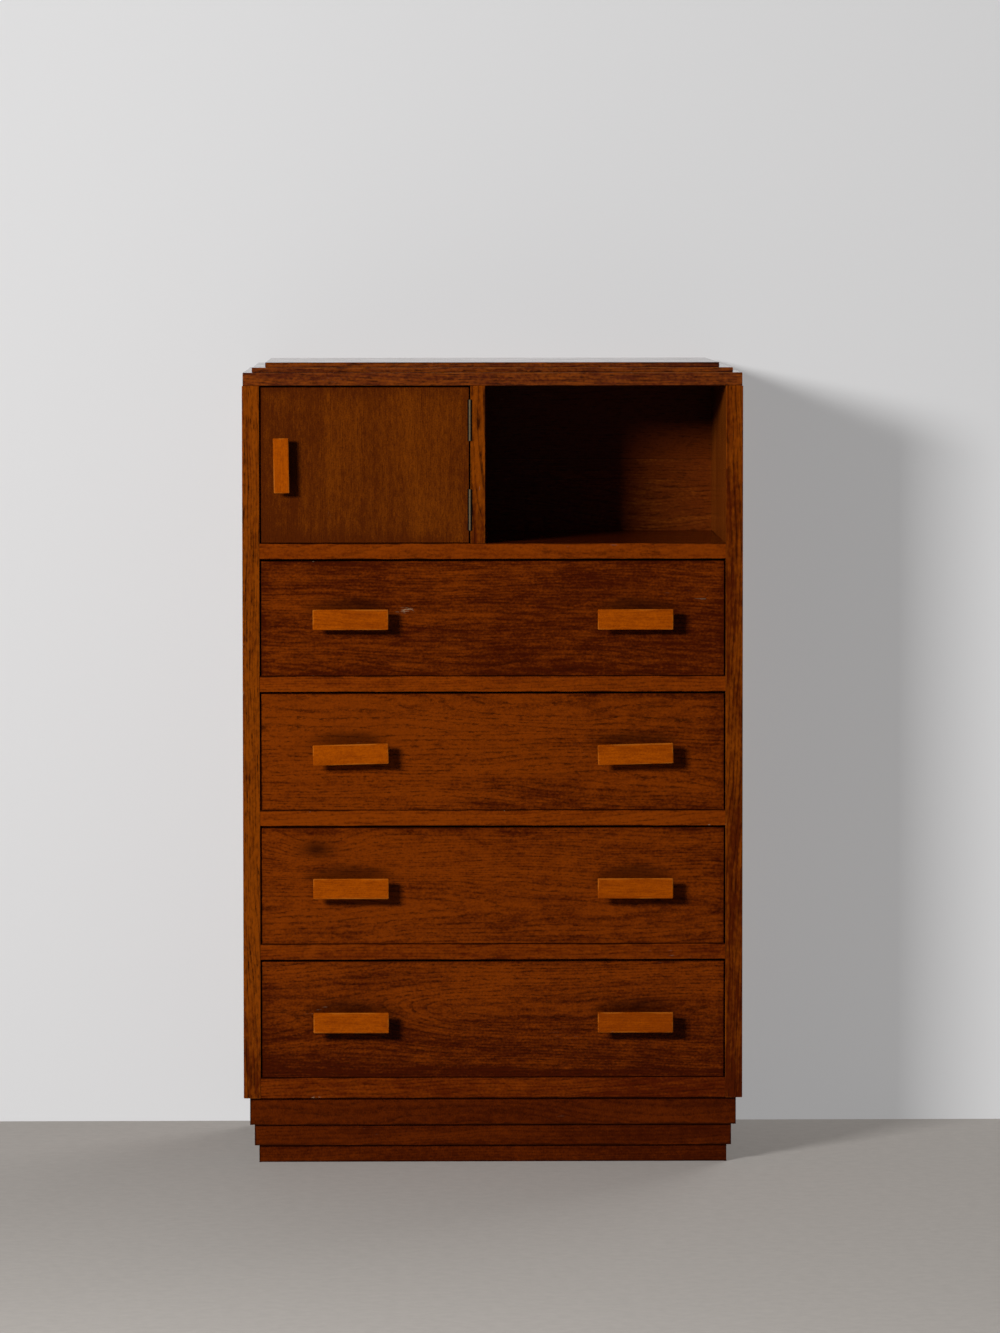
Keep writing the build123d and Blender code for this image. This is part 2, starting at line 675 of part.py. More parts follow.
def carcass():
    """Every piece that stands still."""
    drawer_rails = []
    left_runners = [runner(PLINTH_HEIGHT, BOTTOM_RAIL_HEIGHT)]
    for foot, head in OPENINGS[:-1]:
        drawer_rails.append(rail(foot - RAIL_HEIGHT, RAIL_HEIGHT))
        left_runners.append(runner(foot - RAIL_HEIGHT, RAIL_HEIGHT))
    bottom_rail = rail(PLINTH_HEIGHT, BOTTOM_RAIL_HEIGHT)
    nail_holes = [nail(place, SCREW_CLEARANCE) for place in nail_places()]
    strike_holes = [screw_hole(place, *HINGE_SCREW_SIZES) for place in strike_screw_places()]
    floor = floor_blank()
    divider = divider_blank()
    for foot in HINGE_FEET:
        divider = cut(divider, *hinge_seat(foot, 1))
    rebate = back_space(BACK)
    side_left = cut(
        side_blank(), rebate, floor, bottom_rail, *drawer_rails, *left_runners, *nail_holes
    )
    side_right = mirrored(side_left)
    plinth_middle_setback = PLINTH_UPPER_SETBACK + PLINTH_MIDDLE_SETBACK
    plinth_upper_foot = PLINTH_LOWER_HEIGHT + PLINTH_MIDDLE_HEIGHT
    top_upper_setback = TOP_MIDDLE_SETBACK + TOP_UPPER_SETBACK
    top_upper_foot = TOP_BOARD_HEAD + TOP_STEP_THICKNESS
    return {
        "side_panel_left": cut(side_left, strike_blank(), *strike_holes),
        "side_panel_right": side_right,
        "drawer_rails": drawer_rails,
        "bottom_rail": bottom_rail,
        "compartment_floor": cut(floor, divider_blank(), *nail_holes),
        "compartment_divider": divider,
        "back_panel": cut(back_space(BACK_OUTSIDE), *nail_holes),
        "back_panel_nails": [nail(place) for place in nail_places()],
        "top_board": cut(
            top_tier(0, TOP_FOOT, TOP_BOARD_THICKNESS),
            side_blank(),
            mirrored(side_blank()),
            divider_blank(),
        ),
        "top_step_middle": top_tier(TOP_MIDDLE_SETBACK, TOP_BOARD_HEAD, TOP_STEP_THICKNESS),
        "top_step_upper": top_tier(top_upper_setback, top_upper_foot, TOP_STEP_THICKNESS),
        "drawer_runners": left_runners + [mirrored(piece) for piece in left_runners],
        "drawer_stops": [piece for foot, head in OPENINGS for piece in stops(foot)],
        "plinth_upper": plinth_tier(PLINTH_UPPER_SETBACK, plinth_upper_foot, PLINTH_UPPER_HEIGHT),
        "plinth_middle": plinth_tier(plinth_middle_setback, PLINTH_LOWER_HEIGHT, PLINTH_MIDDLE_HEIGHT),
        "plinth_lower": plinth_tier(PLINTH_SETBACK, 0, PLINTH_LOWER_HEIGHT),
        "plinth_corner_blocks": corner_blocks(),
        "hinge_frame_leaves": [hinge_leaf(foot, 1) for foot in HINGE_FEET],
        "hinge_pins": [
            post(HINGE_X, HINGE_Y, PIN_RADIUS, foot, foot + HINGE_LENGTH) for foot in HINGE_FEET
        ],
        "frame_screws": hinge_screws(1)
        + [screw(place, *HINGE_SCREW_SIZES) for place in strike_screw_places()],
        "catch_strike": cut(strike_blank(), catch_dimple(), *strike_holes),
    }


def all_nodes():
    """Every piece of the chest by the name of its node."""
    nodes = {**carcass(), **door()}
    nodes["catch_ball"] = Pos(BALL_X, CATCH_Y, DOOR_MIDDLE) * Sphere(BALL_RADIUS)
    for number, opening in enumerate(OPENINGS, start=1):
        for piece, solid in drawer(opening).items():
            nodes[f"drawer_{number}_{piece}"] = solid
    return nodes


os.makedirs("parts", exist_ok=True)
for name, solid in all_nodes().items():
    if isinstance(solid, list):
        solid = Compound(children=solid)
    export_step(solid, f"parts/{name}.step")
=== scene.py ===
"""Looks of the oak chest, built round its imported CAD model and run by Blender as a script."""

import json
import math
import random

import bmesh
import bpy
from bpy.props import FloatProperty, FloatVectorProperty, PointerProperty
from mathutils import Matrix, Vector

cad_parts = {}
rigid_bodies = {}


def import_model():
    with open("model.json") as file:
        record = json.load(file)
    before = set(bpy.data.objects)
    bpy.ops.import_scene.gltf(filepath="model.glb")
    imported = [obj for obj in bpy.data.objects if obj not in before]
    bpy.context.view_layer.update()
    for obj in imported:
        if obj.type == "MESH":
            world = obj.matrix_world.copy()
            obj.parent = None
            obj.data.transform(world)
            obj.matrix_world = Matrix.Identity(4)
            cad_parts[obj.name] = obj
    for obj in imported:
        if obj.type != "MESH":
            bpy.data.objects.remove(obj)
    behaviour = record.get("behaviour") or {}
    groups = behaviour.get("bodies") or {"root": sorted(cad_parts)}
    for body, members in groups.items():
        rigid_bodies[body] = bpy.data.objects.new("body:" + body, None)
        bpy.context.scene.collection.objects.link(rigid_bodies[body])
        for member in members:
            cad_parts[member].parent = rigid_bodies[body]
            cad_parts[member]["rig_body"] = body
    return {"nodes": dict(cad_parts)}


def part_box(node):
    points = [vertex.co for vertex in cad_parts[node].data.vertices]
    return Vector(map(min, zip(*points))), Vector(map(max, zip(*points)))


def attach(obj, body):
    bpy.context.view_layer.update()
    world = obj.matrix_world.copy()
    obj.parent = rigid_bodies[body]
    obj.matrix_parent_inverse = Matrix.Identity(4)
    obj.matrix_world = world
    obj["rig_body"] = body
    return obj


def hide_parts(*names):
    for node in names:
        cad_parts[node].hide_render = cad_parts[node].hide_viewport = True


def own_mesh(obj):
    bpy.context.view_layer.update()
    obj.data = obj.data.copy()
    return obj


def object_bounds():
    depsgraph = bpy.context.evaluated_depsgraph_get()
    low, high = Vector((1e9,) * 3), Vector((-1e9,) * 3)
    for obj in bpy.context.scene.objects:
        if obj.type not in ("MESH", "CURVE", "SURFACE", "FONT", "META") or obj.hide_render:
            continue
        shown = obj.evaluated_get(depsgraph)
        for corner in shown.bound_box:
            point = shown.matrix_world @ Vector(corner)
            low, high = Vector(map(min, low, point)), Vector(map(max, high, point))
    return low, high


bl_info = {
    "name": "Oak chest dressing",
    "version": (1, 0, 0),
    "blender": (4, 5, 0),
    "location": "View3D > Sidebar > Chest",
    "description": "Dresses the packed oak chest with softened boards, pulls, finishes and a stage",
    "category": "Object",
}

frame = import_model()
cad_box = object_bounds()

MM = 0.001
DRAWERS = ("drawer_1", "drawer_2", "drawer_3", "drawer_4")
PULL_REACH = sum(corner.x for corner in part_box("drawer_1_pull_right")) / 2
HANDS = ("left", "right")

# Angles from which an edge counts as square, or is shaded as a sharp one.
SQUARE = math.radians(80)
SHARP = math.radians(42)
ARRIS_SEGMENTS = 3
FOOT_SEGMENTS = 4

# Points nearer to each other than this are one.
WELD = 0.002 * MM

# Bare wood in chips and nicks, and wood that is only scuffed.
BARE_WOOD = (0.42, 0.30, 0.18)
SCUFFED_WOOD = (0.30, 0.22, 0.15)
PLANK_WIDTH = 0.134
MIDDLE_TONE = 1.12
TONE_SPREAD = 0.30

# The light behind the chest, the height that lights aim at and half the width of floor and wall.
FILL_PLACE = (2.3, 4.2, 1.5)
FILL_SIZE = (2.4, 1.8)
FILL_POWER = 130.0
AIM_HEIGHT = 0.5
STAGE_REACH = 16.0

# The camera's lens and sensor in millimetres, its place in metres and its turn in degrees.
CAMERA_LENS = 184.25
CAMERA_SENSOR = 36.0
CAMERA_PLACE = (-0.1135, -8.4865, 1.1092)
CAMERA_TURN = (90 - 3.442, 0.04, -0.846)

# Pith offset across the board, pith depth below its face and slope along the grain, in metres.
LOGS = {
    "drawer_1_front": (0.085, 0.050, 0.040),
    "drawer_2_front": (-0.100, 0.120, -0.020),
    "drawer_3_front": (0.030, 0.045, 0.070),
    "drawer_4_front": (-0.012, 0.034, -0.060),
    "door_panel": (0.420, 0.010, 0.0),
    "top_board": (0.060, 0.050, 0.020),
    "side_panel_left": (0.070, 0.034, 0.012),
    "side_panel_right": (0.062, 0.040, -0.015),
}

# How light a board's colour came out, from about -0.3 to 0.2, where it differs from the usual: uneven stain,
# and partly painted shade, with the right side panel darker than the left as the light falls off and the back
# panel darkened inside the pigeon-hole.
SHADES = {
    "side_panel_left": 0.08,
    "side_panel_right": -0.05,
    "door_panel": 0.06,
    # Painted shade: the back panel is darkened as if in the pigeon-hole's shade.
    "back_panel": -0.32,
    "drawer_1_front": -0.05,
    "drawer_2_front": 0.14,
    "drawer_3_front": 0.10,
    "drawer_4_front": 0.02,
    "drawer_rails 0": 0.14,
    "drawer_rails 1": 0.155,
    "drawer_rails 2": 0.01,
    "bottom_rail": -0.09,
    "compartment_floor": 0.135,
    "compartment_divider": 0.07,
    "top_board": 0.03,
    "top_step_middle": 0.0,
    "top_step_upper": -0.02,
    "plinth_upper front": 0.02,
    "plinth_lower front": -0.04,
    "drawer_4_pull_right": -0.12,
}

# How much a board's colour darkens from the left of the chest to the right, per metre: painted shade where
# the light falls off towards the right, partly uneven stain.
LIGHT_FALLOFFS = {
    "door_panel": -0.75,
    "drawer_1_front": 0.07,
    "drawer_2_front": 0.36,
    "drawer_4_front": -0.06,
    "drawer_rails 0": 0.08,
    "compartment_floor": -0.10,
    "top_board": 0.12,
    "top_step_middle": 0.04,
}
LIGHT_FALLOFF = 0.19

# How boldly the rings and pores show, where it differs from the usual.
BOLD = {
    "drawer_1_front": 0.8,
    "drawer_2_front": 1.1,
    "drawer_4_front": 1.15,
    "drawer_rails": 0.9,
    "compartment_floor": 0.8,
    "side_panel_right": 0.75,
}

# How much a board lightens upwards, per metre.
RISES = {
    "door_panel": 0.25,
    "drawer_1_front": 0.4,
    "drawer_2_front": 0.6,
    "drawer_3_front": -0.3,
    "drawer_4_front": 2.2,
}

# Place along and across the board and radius of the knots that show, in metres.
KNOTS = {
    "drawer_3_front": (-0.215, 0.053, 0.009),
    "drawer_4_front": (-0.160, -0.002, 0.013),
    "side_panel_right": (0.042, -0.200, 0.007),
}

# Centre on the front, half width and half height of the bare nicks and scratches that show, in metres.
NICKS = {
    "bottom_rail": ((-0.217, 0.0825), (0.0075, 0.0022)),
    "side_panel_left": ((-0.3030, 0.578), (0.0030, 0.0022)),
    "side_panel_right": ((0.2935, 0.893), (0.0022, 0.0026)),
    "drawer_1_front": ((-0.1080, 0.6785), (0.0150, 0.0042)),
}
NO_NICK = ((9.0, 9.0), (1.0, 1.0))
NICK_DEPTH = 3 * MM


# Shapes


def merged_copy(node):
    """A CAD node's mesh with its loose triangles joined into flat faces."""
    shape = bmesh.new()
    shape.from_mesh(frame["nodes"][node].data)
    bmesh.ops.remove_doubles(shape, verts=shape.verts, dist=WELD)
    bmesh.ops.dissolve_limit(
        shape, angle_limit=math.radians(0.5), verts=shape.verts, edges=shape.edges
    )
    return shape


def block(shape, low, high):
    """Adds a box between two corners and returns its vertices."""
    low, high = Vector(low), Vector(high)
    size = Matrix.Diagonal((high - low).to_4d())
    place = Matrix.Translation((low + high) / 2)
    return bmesh.ops.create_cube(shape, size=1.0, matrix=place @ size)["verts"]


def round_edges(shape, edges, radius, segments):
    """Rounds some edges of a shape."""
    bmesh.ops.bevel(
        shape,
        geom=list(edges),
        offset=radius,
        offset_type="OFFSET",
        segments=segments,
        profile=0.5,
        affect="EDGES",
        clamp_overlap=True,
        material=-1,
    )


def long_arrises(shape):
    """The square outer edges that run unbroken along a board, without those of its joints."""
    lines = {}
    for edge in shape.edges:
        if len(edge.link_faces) != 2 or edge.calc_face_angle_signed() < SQUARE:
            continue
        start, end = (vert.co for vert in edge.verts)
        along = max(range(3), key=lambda axis: abs(end[axis] - start[axis]))
        others = [axis for axis in range(3) if axis != along]
        if any(abs(end[axis] - start[axis]) > 0.01 * MM for axis in others):
            continue
        line = (along, *(round(start[axis] / (0.02 * MM)) for axis in others))
        lines.setdefault(line, []).append((edge, sorted((start[along], end[along]))))
    found = []
    for parts in lines.values():
        reach = max(span[1] for _, span in parts) - min(span[0] for _, span in parts)
        covered = sum(span[1] - span[0] for _, span in parts)
        if reach > 25 * MM and covered > 0.85 * reach:
            found += [edge for edge, _ in parts]
    return found


def islands(shape):
    """The separate solids of a shape, as lists of vertices, from the top one down and from left to right."""
    seen, groups = set(), []
    for first in shape.verts:
        if first in seen:
            continue
        seen.add(first)
        group, waiting = [], [first]
        while waiting:
            vert = waiting.pop()
            group.append(vert)
            for edge in vert.link_edges:
                other = edge.other_vert(vert)
                if other not in seen:
                    seen.add(other)
                    waiting.append(other)
        groups.append(group)

    def rank(group):
        head = max(vert.co.z for vert in group)
        left = min(vert.co.x for vert in group)
        near = min(vert.co.y for vert in group)
        return -round(head / MM), round(left / MM), round(near / MM)

    return sorted(groups, key=rank)


def mark_grain(shape, node, grain):
    """Gives each solid its own wood: place along, across and through the board, its log and its knot."""
    layers = shape.verts.layers
    place, half, log, knot, nick = (
        layers.float_vector.new(name) for name in ("grain", "half", "log", "knot", "nick")
    )
    board, shade, bold = (layers.float.new(name) for name in ("board", "shade", "bold"))
    nick_place, nick_size = NICKS.get(node, NO_NICK)
    for number, group in enumerate(islands(shape)):
        low = [min(vert.co[axis] for vert in group) for axis in range(3)]
        high = [max(vert.co[axis] for vert in group) for axis in range(3)]
        along = "XYZ".index(grain)
        others = [axis for axis in range(3) if axis != along]
        others.sort(key=lambda axis: low[axis] - high[axis])
        order = (along, *others)
        middle = [(low[axis] + high[axis]) / 2 for axis in order]
        reach = [(high[axis] - low[axis]) / 2 for axis in order]
        draw = random.Random(f"{node} {number}")
        pith = (draw.uniform(-0.11, 0.11), draw.uniform(0.03, 0.11), draw.uniform(-0.05, 0.05))
        pith = LOGS.get(node, pith)
        seed = draw.uniform(0.0, 40.0)
        tone = SHADES.get(node, SHADES.get(f"{node} {number}", draw.uniform(-0.03, 0.03)))
        falloff = LIGHT_FALLOFFS.get(node, LIGHT_FALLOFFS.get(f"{node} {number}", LIGHT_FALLOFF))
        rise = RISES.get(node, 0.0)
        for vert in group:
            vert[place] = [vert.co[axis] - mid for axis, mid in zip(order, middle)]
            vert[half] = reach
            vert[log] = pith
            vert[knot] = KNOTS.get(node, (0.0, 0.0, 0.0))
            vert[board] = seed
            # The board's tone, with painted shade darkening it towards the right and its rise upwards.
            vert[shade] = tone - falloff * vert.co.x + rise * (vert.co.z - (low[2] + high[2]) / 2)
            vert[bold] = BOLD.get(node, 1.0)
            vert[nick] = (
                (vert.co.x - nick_place[0]) / nick_size[0],
                (vert.co.y - low[1]) / NICK_DEPTH,
                (vert.co.z - nick_place[1]) / nick_size[1],
            )


def settle(shape, name, node, finishes):
    """Makes a piece of a finished shape, which stands for its CAD node and rides on that node's body."""
    for edge in shape.edges:
        edge.smooth = len(edge.link_faces) != 2 or edge.calc_face_angle() <= SHARP
    for face in shape.faces:
        face.smooth = True
    mesh = bpy.data.meshes.new(name)
    shape.to_mesh(mesh)
    shape.free()
    piece = bpy.data.objects.new(name, mesh)
    bpy.context.scene.collection.objects.link(piece)
    for finish in finishes:
        mesh.materials.append(finish)
    weigh = piece.modifiers.new("Even shading", "WEIGHTED_NORMAL")
    weigh.keep_sharp = True
    weigh.weight = 80
    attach(piece, body_of(node))
    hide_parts(node)
    return piece


def body_of(node):
    """The CAD body that a node rides on."""
    return frame["nodes"][node]["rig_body"]


def dress_board(node, grain, finish, arris, inside=None, inside_normal=None):
    """Replaces a CAD board by a copy with softened arrises and its own grain."""
    shape = merged_copy(node)
    round_edges(shape, long_arrises(shape), arris, ARRIS_SEGMENTS)
    mark_grain(shape, node, grain)
    finishes = [finish]
    if inside is not None:
        finishes.append(inside)
        for face in shape.faces:
            if face.normal.dot(Vector(inside_normal)) > 0.9:
                face.material_index = 1
    settle(shape, node + "_board", node, finishes)


def dress_metal(node, finish):
    """Gives a CAD node that keeps its shape its finish."""
    mesh = frame["nodes"][node].data
    mesh.materials.clear()
    mesh.materials.append(finish)


# Shader wiring


class Wiring:
    """Adds nodes to one shader tree and joins them up."""

    def __init__(self, tree):
        self.tree = tree

    def node(self, kind, **settings):
        made = self.tree.nodes.new(kind)
        for key, value in settings.items():
            setattr(made, key, value)
        return made

    def feed(self, socket, value):
        if isinstance(value, bpy.types.NodeSocket):
            self.tree.links.new(value, socket)
        elif value is not None:
            socket.default_value = value

    def math(self, operation, first, second=None, third=None, clamp=False):
        made = self.node("ShaderNodeMath", operation=operation, use_clamp=clamp)
        for socket, value in zip(made.inputs, (first, second, third)):
            self.feed(socket, value)
        return made.outputs[0]

    def times(self, first, second, clamp=False):
        return self.math("MULTIPLY", first, second, clamp=clamp)

    def plus(self, first, second, clamp=False):
        return self.math("ADD", first, second, clamp=clamp)

    def minus(self, first, second):
        return self.math("SUBTRACT", first, second)

    def over(self, first, second):
        return self.math("DIVIDE", first, second)

    def squared(self, value):
        return self.math("POWER", value, 2.0)

    def times_plus(self, first, second, third):
        return self.math("MULTIPLY_ADD", first, second, third)

    def vector(self, operation, first, second=None, scale=None):
        made = self.node("ShaderNodeVectorMath", operation=operation)
        self.feed(made.inputs[0], first)
        self.feed(made.inputs[1], second)
        self.feed(made.inputs[3], scale)
        return made.outputs["Vector"]

    def split(self, vector):
        made = self.node("ShaderNodeSeparateXYZ")
        self.feed(made.inputs[0], vector)
        return made.outputs

    def join(self, x, y, z):
        made = self.node("ShaderNodeCombineXYZ")
        for socket, value in zip(made.inputs, (x, y, z)):
            self.feed(socket, value)
        return made.outputs[0]

    def noise(self, place, stretch, detail=2.0, roughness=0.5, output=0):
        made = self.node("ShaderNodeTexNoise")
        self.feed(made.inputs["Vector"], self.vector("MULTIPLY", place, stretch))
        made.inputs["Scale"].default_value = 1.0
        made.inputs["Detail"].default_value = detail
        made.inputs["Roughness"].default_value = roughness
        return made.outputs[output]

    def ease(self, value, low, high, first=0.0, last=1.0):
        made = self.node("ShaderNodeMapRange", interpolation_type="SMOOTHSTEP")
        for socket, given in zip(made.inputs, (value, low, high, first, last)):
            self.feed(socket, given)
        return made.outputs[0]

    def blend(self, share, first, second, kind="MIX"):
        made = self.node("ShaderNodeMix", data_type="RGBA", blend_type=kind)
        self.feed(made.inputs[0], share)
        for socket, colour in zip(made.inputs[6:8], (first, second)):
            self.feed(socket, colour if isinstance(colour, bpy.types.NodeSocket) else (*colour, 1.0))
        return made.outputs[2]

    def tint(self, colour, mask, share, other):
        """A colour that turns into another one by a share of a mask."""
        return self.blend(self.times(mask, share), colour, other)

    def bump(self, height, strength, distance):
        made = self.node("ShaderNodeBump")
        made.inputs["Strength"].default_value = strength
        made.inputs["Distance"].default_value = distance
        self.feed(made.inputs["Height"], height)
        return made.outputs[0]

    def attribute(self, name):
        return self.node("ShaderNodeAttribute", attribute_name=name)

    def group(self, tree, **values):
        made = self.node("ShaderNodeGroup", node_tree=tree)
        for name, value in values.items():
            self.feed(made.inputs[name.replace("_", " ").capitalize()], value)
        return made.outputs


def new_group(name, vectors, values, outputs):
    """An empty shader node group with its sockets, whose outputs are all values, and what wires it."""
    tree = bpy.data.node_groups.new(name, "ShaderNodeTree")
    sockets = ((vectors, "INPUT", "Vector"), (values, "INPUT", "Float"), (outputs, "OUTPUT", "Float"))
    for titles, way, kind in sockets:
        for title in titles:
            tree.interface.new_socket(title, in_out=way, socket_type="NodeSocket" + kind)
    wire = Wiring(tree)
    given = wire.node("NodeGroupInput").outputs
    result = wire.node("NodeGroupOutput").inputs
    return tree, wire, given, result


def oak_figure():
    """Growth rings, pores and stain streaks of one board, cut from a log of its own."""
    tree, wire, given, result = new_group(
        "Oak figure", ("Grain", "Log", "Knot"), ("Board", "Ring", "Fineness", "Length", "Plank"),
        ("Early", "Line", "Pore", "Streak", "Patch", "Band", "Core", "Plank", "Seam", "Height"),
    )
    plank = wire.math("ROUND", wire.over(wire.split(given["Grain"])[1], given["Plank"]))
    own = wire.vector("MULTIPLY", wire.join(0.0, given["Plank"], 0.0), wire.join(0.0, plank, 0.0))
    own = wire.vector("SUBTRACT", given["Grain"], own)
    chance = wire.node("ShaderNodeTexWhiteNoise", noise_dimensions="1D")
    wire.feed(chance.inputs["W"], wire.times_plus(plank, 1.7, given["Board"]))
    chance = wire.minus(chance.outputs["Value"], 0.5)
    chance = wire.times(chance, wire.math("MINIMUM", wire.math("ABSOLUTE", plank), 1.0))
    edge = wire.math("ABSOLUTE", wire.split(own)[1])
    edge = wire.minus(wire.times(given["Plank"], 0.5), edge)
    seam = wire.ease(edge, 0.0, 0.0006, 1.0, 0.0)

    shift = wire.vector("SCALE", (0.37, 0.61, 0.23), scale=given["Board"])
    shift = wire.vector("ADD", shift, wire.vector("SCALE", (1.71, 0.43, 2.93), scale=plank))
    place = wire.vector("ADD", own, shift)

    wander = wire.noise(place, (1.8, 9.0, 9.0), 2.0, output=1)
    wander = wire.vector("MULTIPLY", wire.vector("SUBTRACT", wander, (0.5, 0.5, 0.5)), (0.0, 0.05, 0.05))
    ripple = wire.noise(place, (14.0, 60.0, 60.0), 2.0, output=1)
    ripple = wire.vector("MULTIPLY", wire.vector("SUBTRACT", ripple, (0.5, 0.5, 0.5)), (0.0, 0.005, 0.005))
    bent = wire.vector("ADD", wire.vector("ADD", own, wander), ripple)
    along, across, through = wire.split(bent)
    offset, depth, slope = wire.split(given["Log"])
    from_pith = wire.plus(across, wire.times_plus(chance, 0.06, offset))
    below = wire.plus(wire.plus(through, depth), wire.times(along, slope))
    radius = wire.math("SQRT", wire.plus(wire.squared(from_pith), wire.squared(below)))

    knot_along, knot_across, knot_radius = wire.split(given["Knot"])
    aside = wire.times(wire.minus(along, knot_along), 0.45)
    over = wire.minus(across, knot_across)
    away = wire.plus(wire.squared(aside), wire.squared(over))
    knot_size = wire.squared(wire.math("MAXIMUM", knot_radius, 0.00001))
    nearness = wire.math("EXPONENT", wire.times(wire.over(away, knot_size), -1.0))
    halo = wire.over(away, wire.times(knot_size, 9.0))
    halo = wire.math("EXPONENT", wire.times(halo, -1.0))
    radius = wire.plus(radius, wire.times(halo, 0.016))

    band = wire.join(wire.times(radius, 95.0), given["Board"], wire.times(along, 3.0))
    band = wire.noise(band, (1.0, 1.0, 1.0), 2.0, 0.6)
    grown = wire.times_plus(band, 0.007, radius)
    turn = wire.math("FRACT", wire.over(grown, given["Ring"]))
    early = wire.plus(wire.ease(turn, 0.1, 0.5, 1.0, 0.0), wire.ease(turn, 0.92, 1.0), clamp=True)
    line = wire.plus(wire.ease(turn, 0.0, 0.2, 1.0, 0.0), wire.ease(turn, 0.88, 1.0), clamp=True)

    fineness = given["Fineness"]
    shorten = wire.over(fineness, given["Length"])
    close = wire.vector("MULTIPLY", place, wire.join(shorten, fineness, fineness))
    fine = wire.ease(wire.noise(close, (380.0, 450.0, 450.0), 1.0), 0.47, 0.65)
    coarse = wire.ease(wire.noise(close, (105.0, 330.0, 330.0), 2.0), 0.51, 0.63)
    fine = wire.times(fine, wire.times_plus(early, 0.5, 0.5))
    coarse = wire.times(coarse, wire.times_plus(early, 0.7, 0.3))
    pore = wire.plus(wire.times(fine, 0.45), wire.times(coarse, 0.7), clamp=True)
    streak = wire.noise(close, (40.0, 195.0, 195.0), 3.0, 0.62)
    fleck = wire.noise(close, (300.0, 360.0, 360.0), 1.0)
    streak = wire.times_plus(fleck, 0.45, wire.times(streak, 0.75))
    patch = wire.noise(place, (6.0, 32.0, 32.0), 3.0, 0.6)
    faint = wire.noise(place, (16.0, 130.0, 130.0), 2.0, 0.6)
    line = wire.times(line, wire.ease(faint, 0.40, 0.62))
    height = wire.times_plus(pore, -0.8, wire.times(early, -0.15))
    height = wire.times_plus(seam, -0.6, height)
    made = (early, line, pore, streak, patch, band, nearness, chance, seam, height)
    for socket, value in zip(result, made):
        wire.feed(socket, value)
    return tree


def own_place(wire, given, direction):
    """A place in the wood, moved by the board's number so that no two boards look alike."""
    return wire.vector("ADD", given["Grain"], wire.vector("SCALE", direction, scale=given["Board"]))


def arris_wear():
    """Arrises to be rubbed light or given painted shade, small chips and a darkened rim, from how near a
    point is to its board's edges.
    """
    tree, wire, given, result = new_group(
        "Arris wear", ("Grain", "Half"), ("Board", "Width"), ("Rubbed", "Chipped", "Rim")
    )
    gap = wire.vector("SUBTRACT", given["Half"], wire.vector("ABSOLUTE", given["Grain"]))
    x, y, z = wire.split(gap)
    low = wire.math("MINIMUM", x, y)
    high = wire.math("MAXIMUM", x, y)
    middle = wire.math("MAXIMUM", low, wire.math("MINIMUM", high, z))
    place = own_place(wire, given, (0.53, 0.29, 0.71))
    uneven = wire.noise(place, (22.0, 90.0, 90.0), 3.0, 0.6)
    reach = wire.times(given["Width"], wire.ease(uneven, 0.36, 0.66, 0.15, 1.6))
    rubbed = wire.ease(wire.over(middle, reach), 0.0, 1.0, 1.0, 0.0)
    spots = wire.noise(place, (70.0, 160.0, 160.0), 3.0, 0.6)
    near = wire.ease(wire.over(middle, given["Width"]), 0.3, 1.6, 1.0, 0.0)
    chipped = wire.times(wire.ease(spots, 0.73, 0.77), near)
    wire.feed(result["Rubbed"], rubbed)
    wire.feed(result["Chipped"], chipped)
    clouds = wire.noise(place, (9.0, 24.0, 24.0), 3.0, 0.6)
    spread = wire.ease(clouds, 0.3, 0.7, 0.004, 0.034)
    wire.feed(result["Rim"], wire.ease(wire.over(middle, spread), 0.0, 1.0, 1.0, 0.0))
    return tree


def surface_marks():
    """Stain blotches, small scuffs and uneven satin over a whole surface."""
    tree, wire, given, result = new_group(
        "Surface marks", ("Grain",), ("Board",), ("Blotch", "Scuff", "Satin")
    )
    place = own_place(wire, given, (0.17, 0.83, 0.47))
    blotch = wire.noise(place, (7.0, 11.0, 11.0), 3.0, 0.6)
    ripple = wire.noise(place, (34.0, 8.0, 8.0), 2.0, 0.6)
    blotch = wire.times_plus(ripple, 0.4, wire.times(blotch, 0.6))
    lines = wire.noise(place, (60.0, 420.0, 420.0), 2.0, 0.6)
    area = wire.noise(place, (9.0, 16.0, 16.0), 1.0)
    scuff = wire.times(wire.ease(lines, 0.66, 0.74), wire.ease(area, 0.67, 0.74))
    satin = wire.noise(place, (18.0, 40.0, 40.0), 3.0, 0.6)
    for title, value in (("Blotch", blotch), ("Scuff", scuff), ("Satin", satin)):
        wire.feed(result[title], value)
    return tree


def pull_darkening():
    """Darker wood in a soft, uneven patch round each of a drawer's two pulls."""
    tree, wire, given, result = new_group("Pull darkening", ("Grain",), ("Board", "Reach"), ("Darkening",))
    along, across = wire.split(given["Grain"])[:2]
    aside = wire.over(wire.minus(wire.math("ABSOLUTE", along), given["Reach"]), 0.050)
    over = wire.over(wire.minus(across, 0.011), 0.015)
    away = wire.plus(wire.squared(aside), wire.squared(over))
    uneven = wire.noise(own_place(wire, given, (0.41, 0.13, 0.59)), (26.0, 60.0, 60.0), 3.0, 0.6)
    away = wire.plus(away, wire.times_plus(uneven, 1.6, -0.8))
    wire.feed(result["Darkening"], wire.ease(away, 0.0, 1.6, 1.0, 0.0))
    return tree


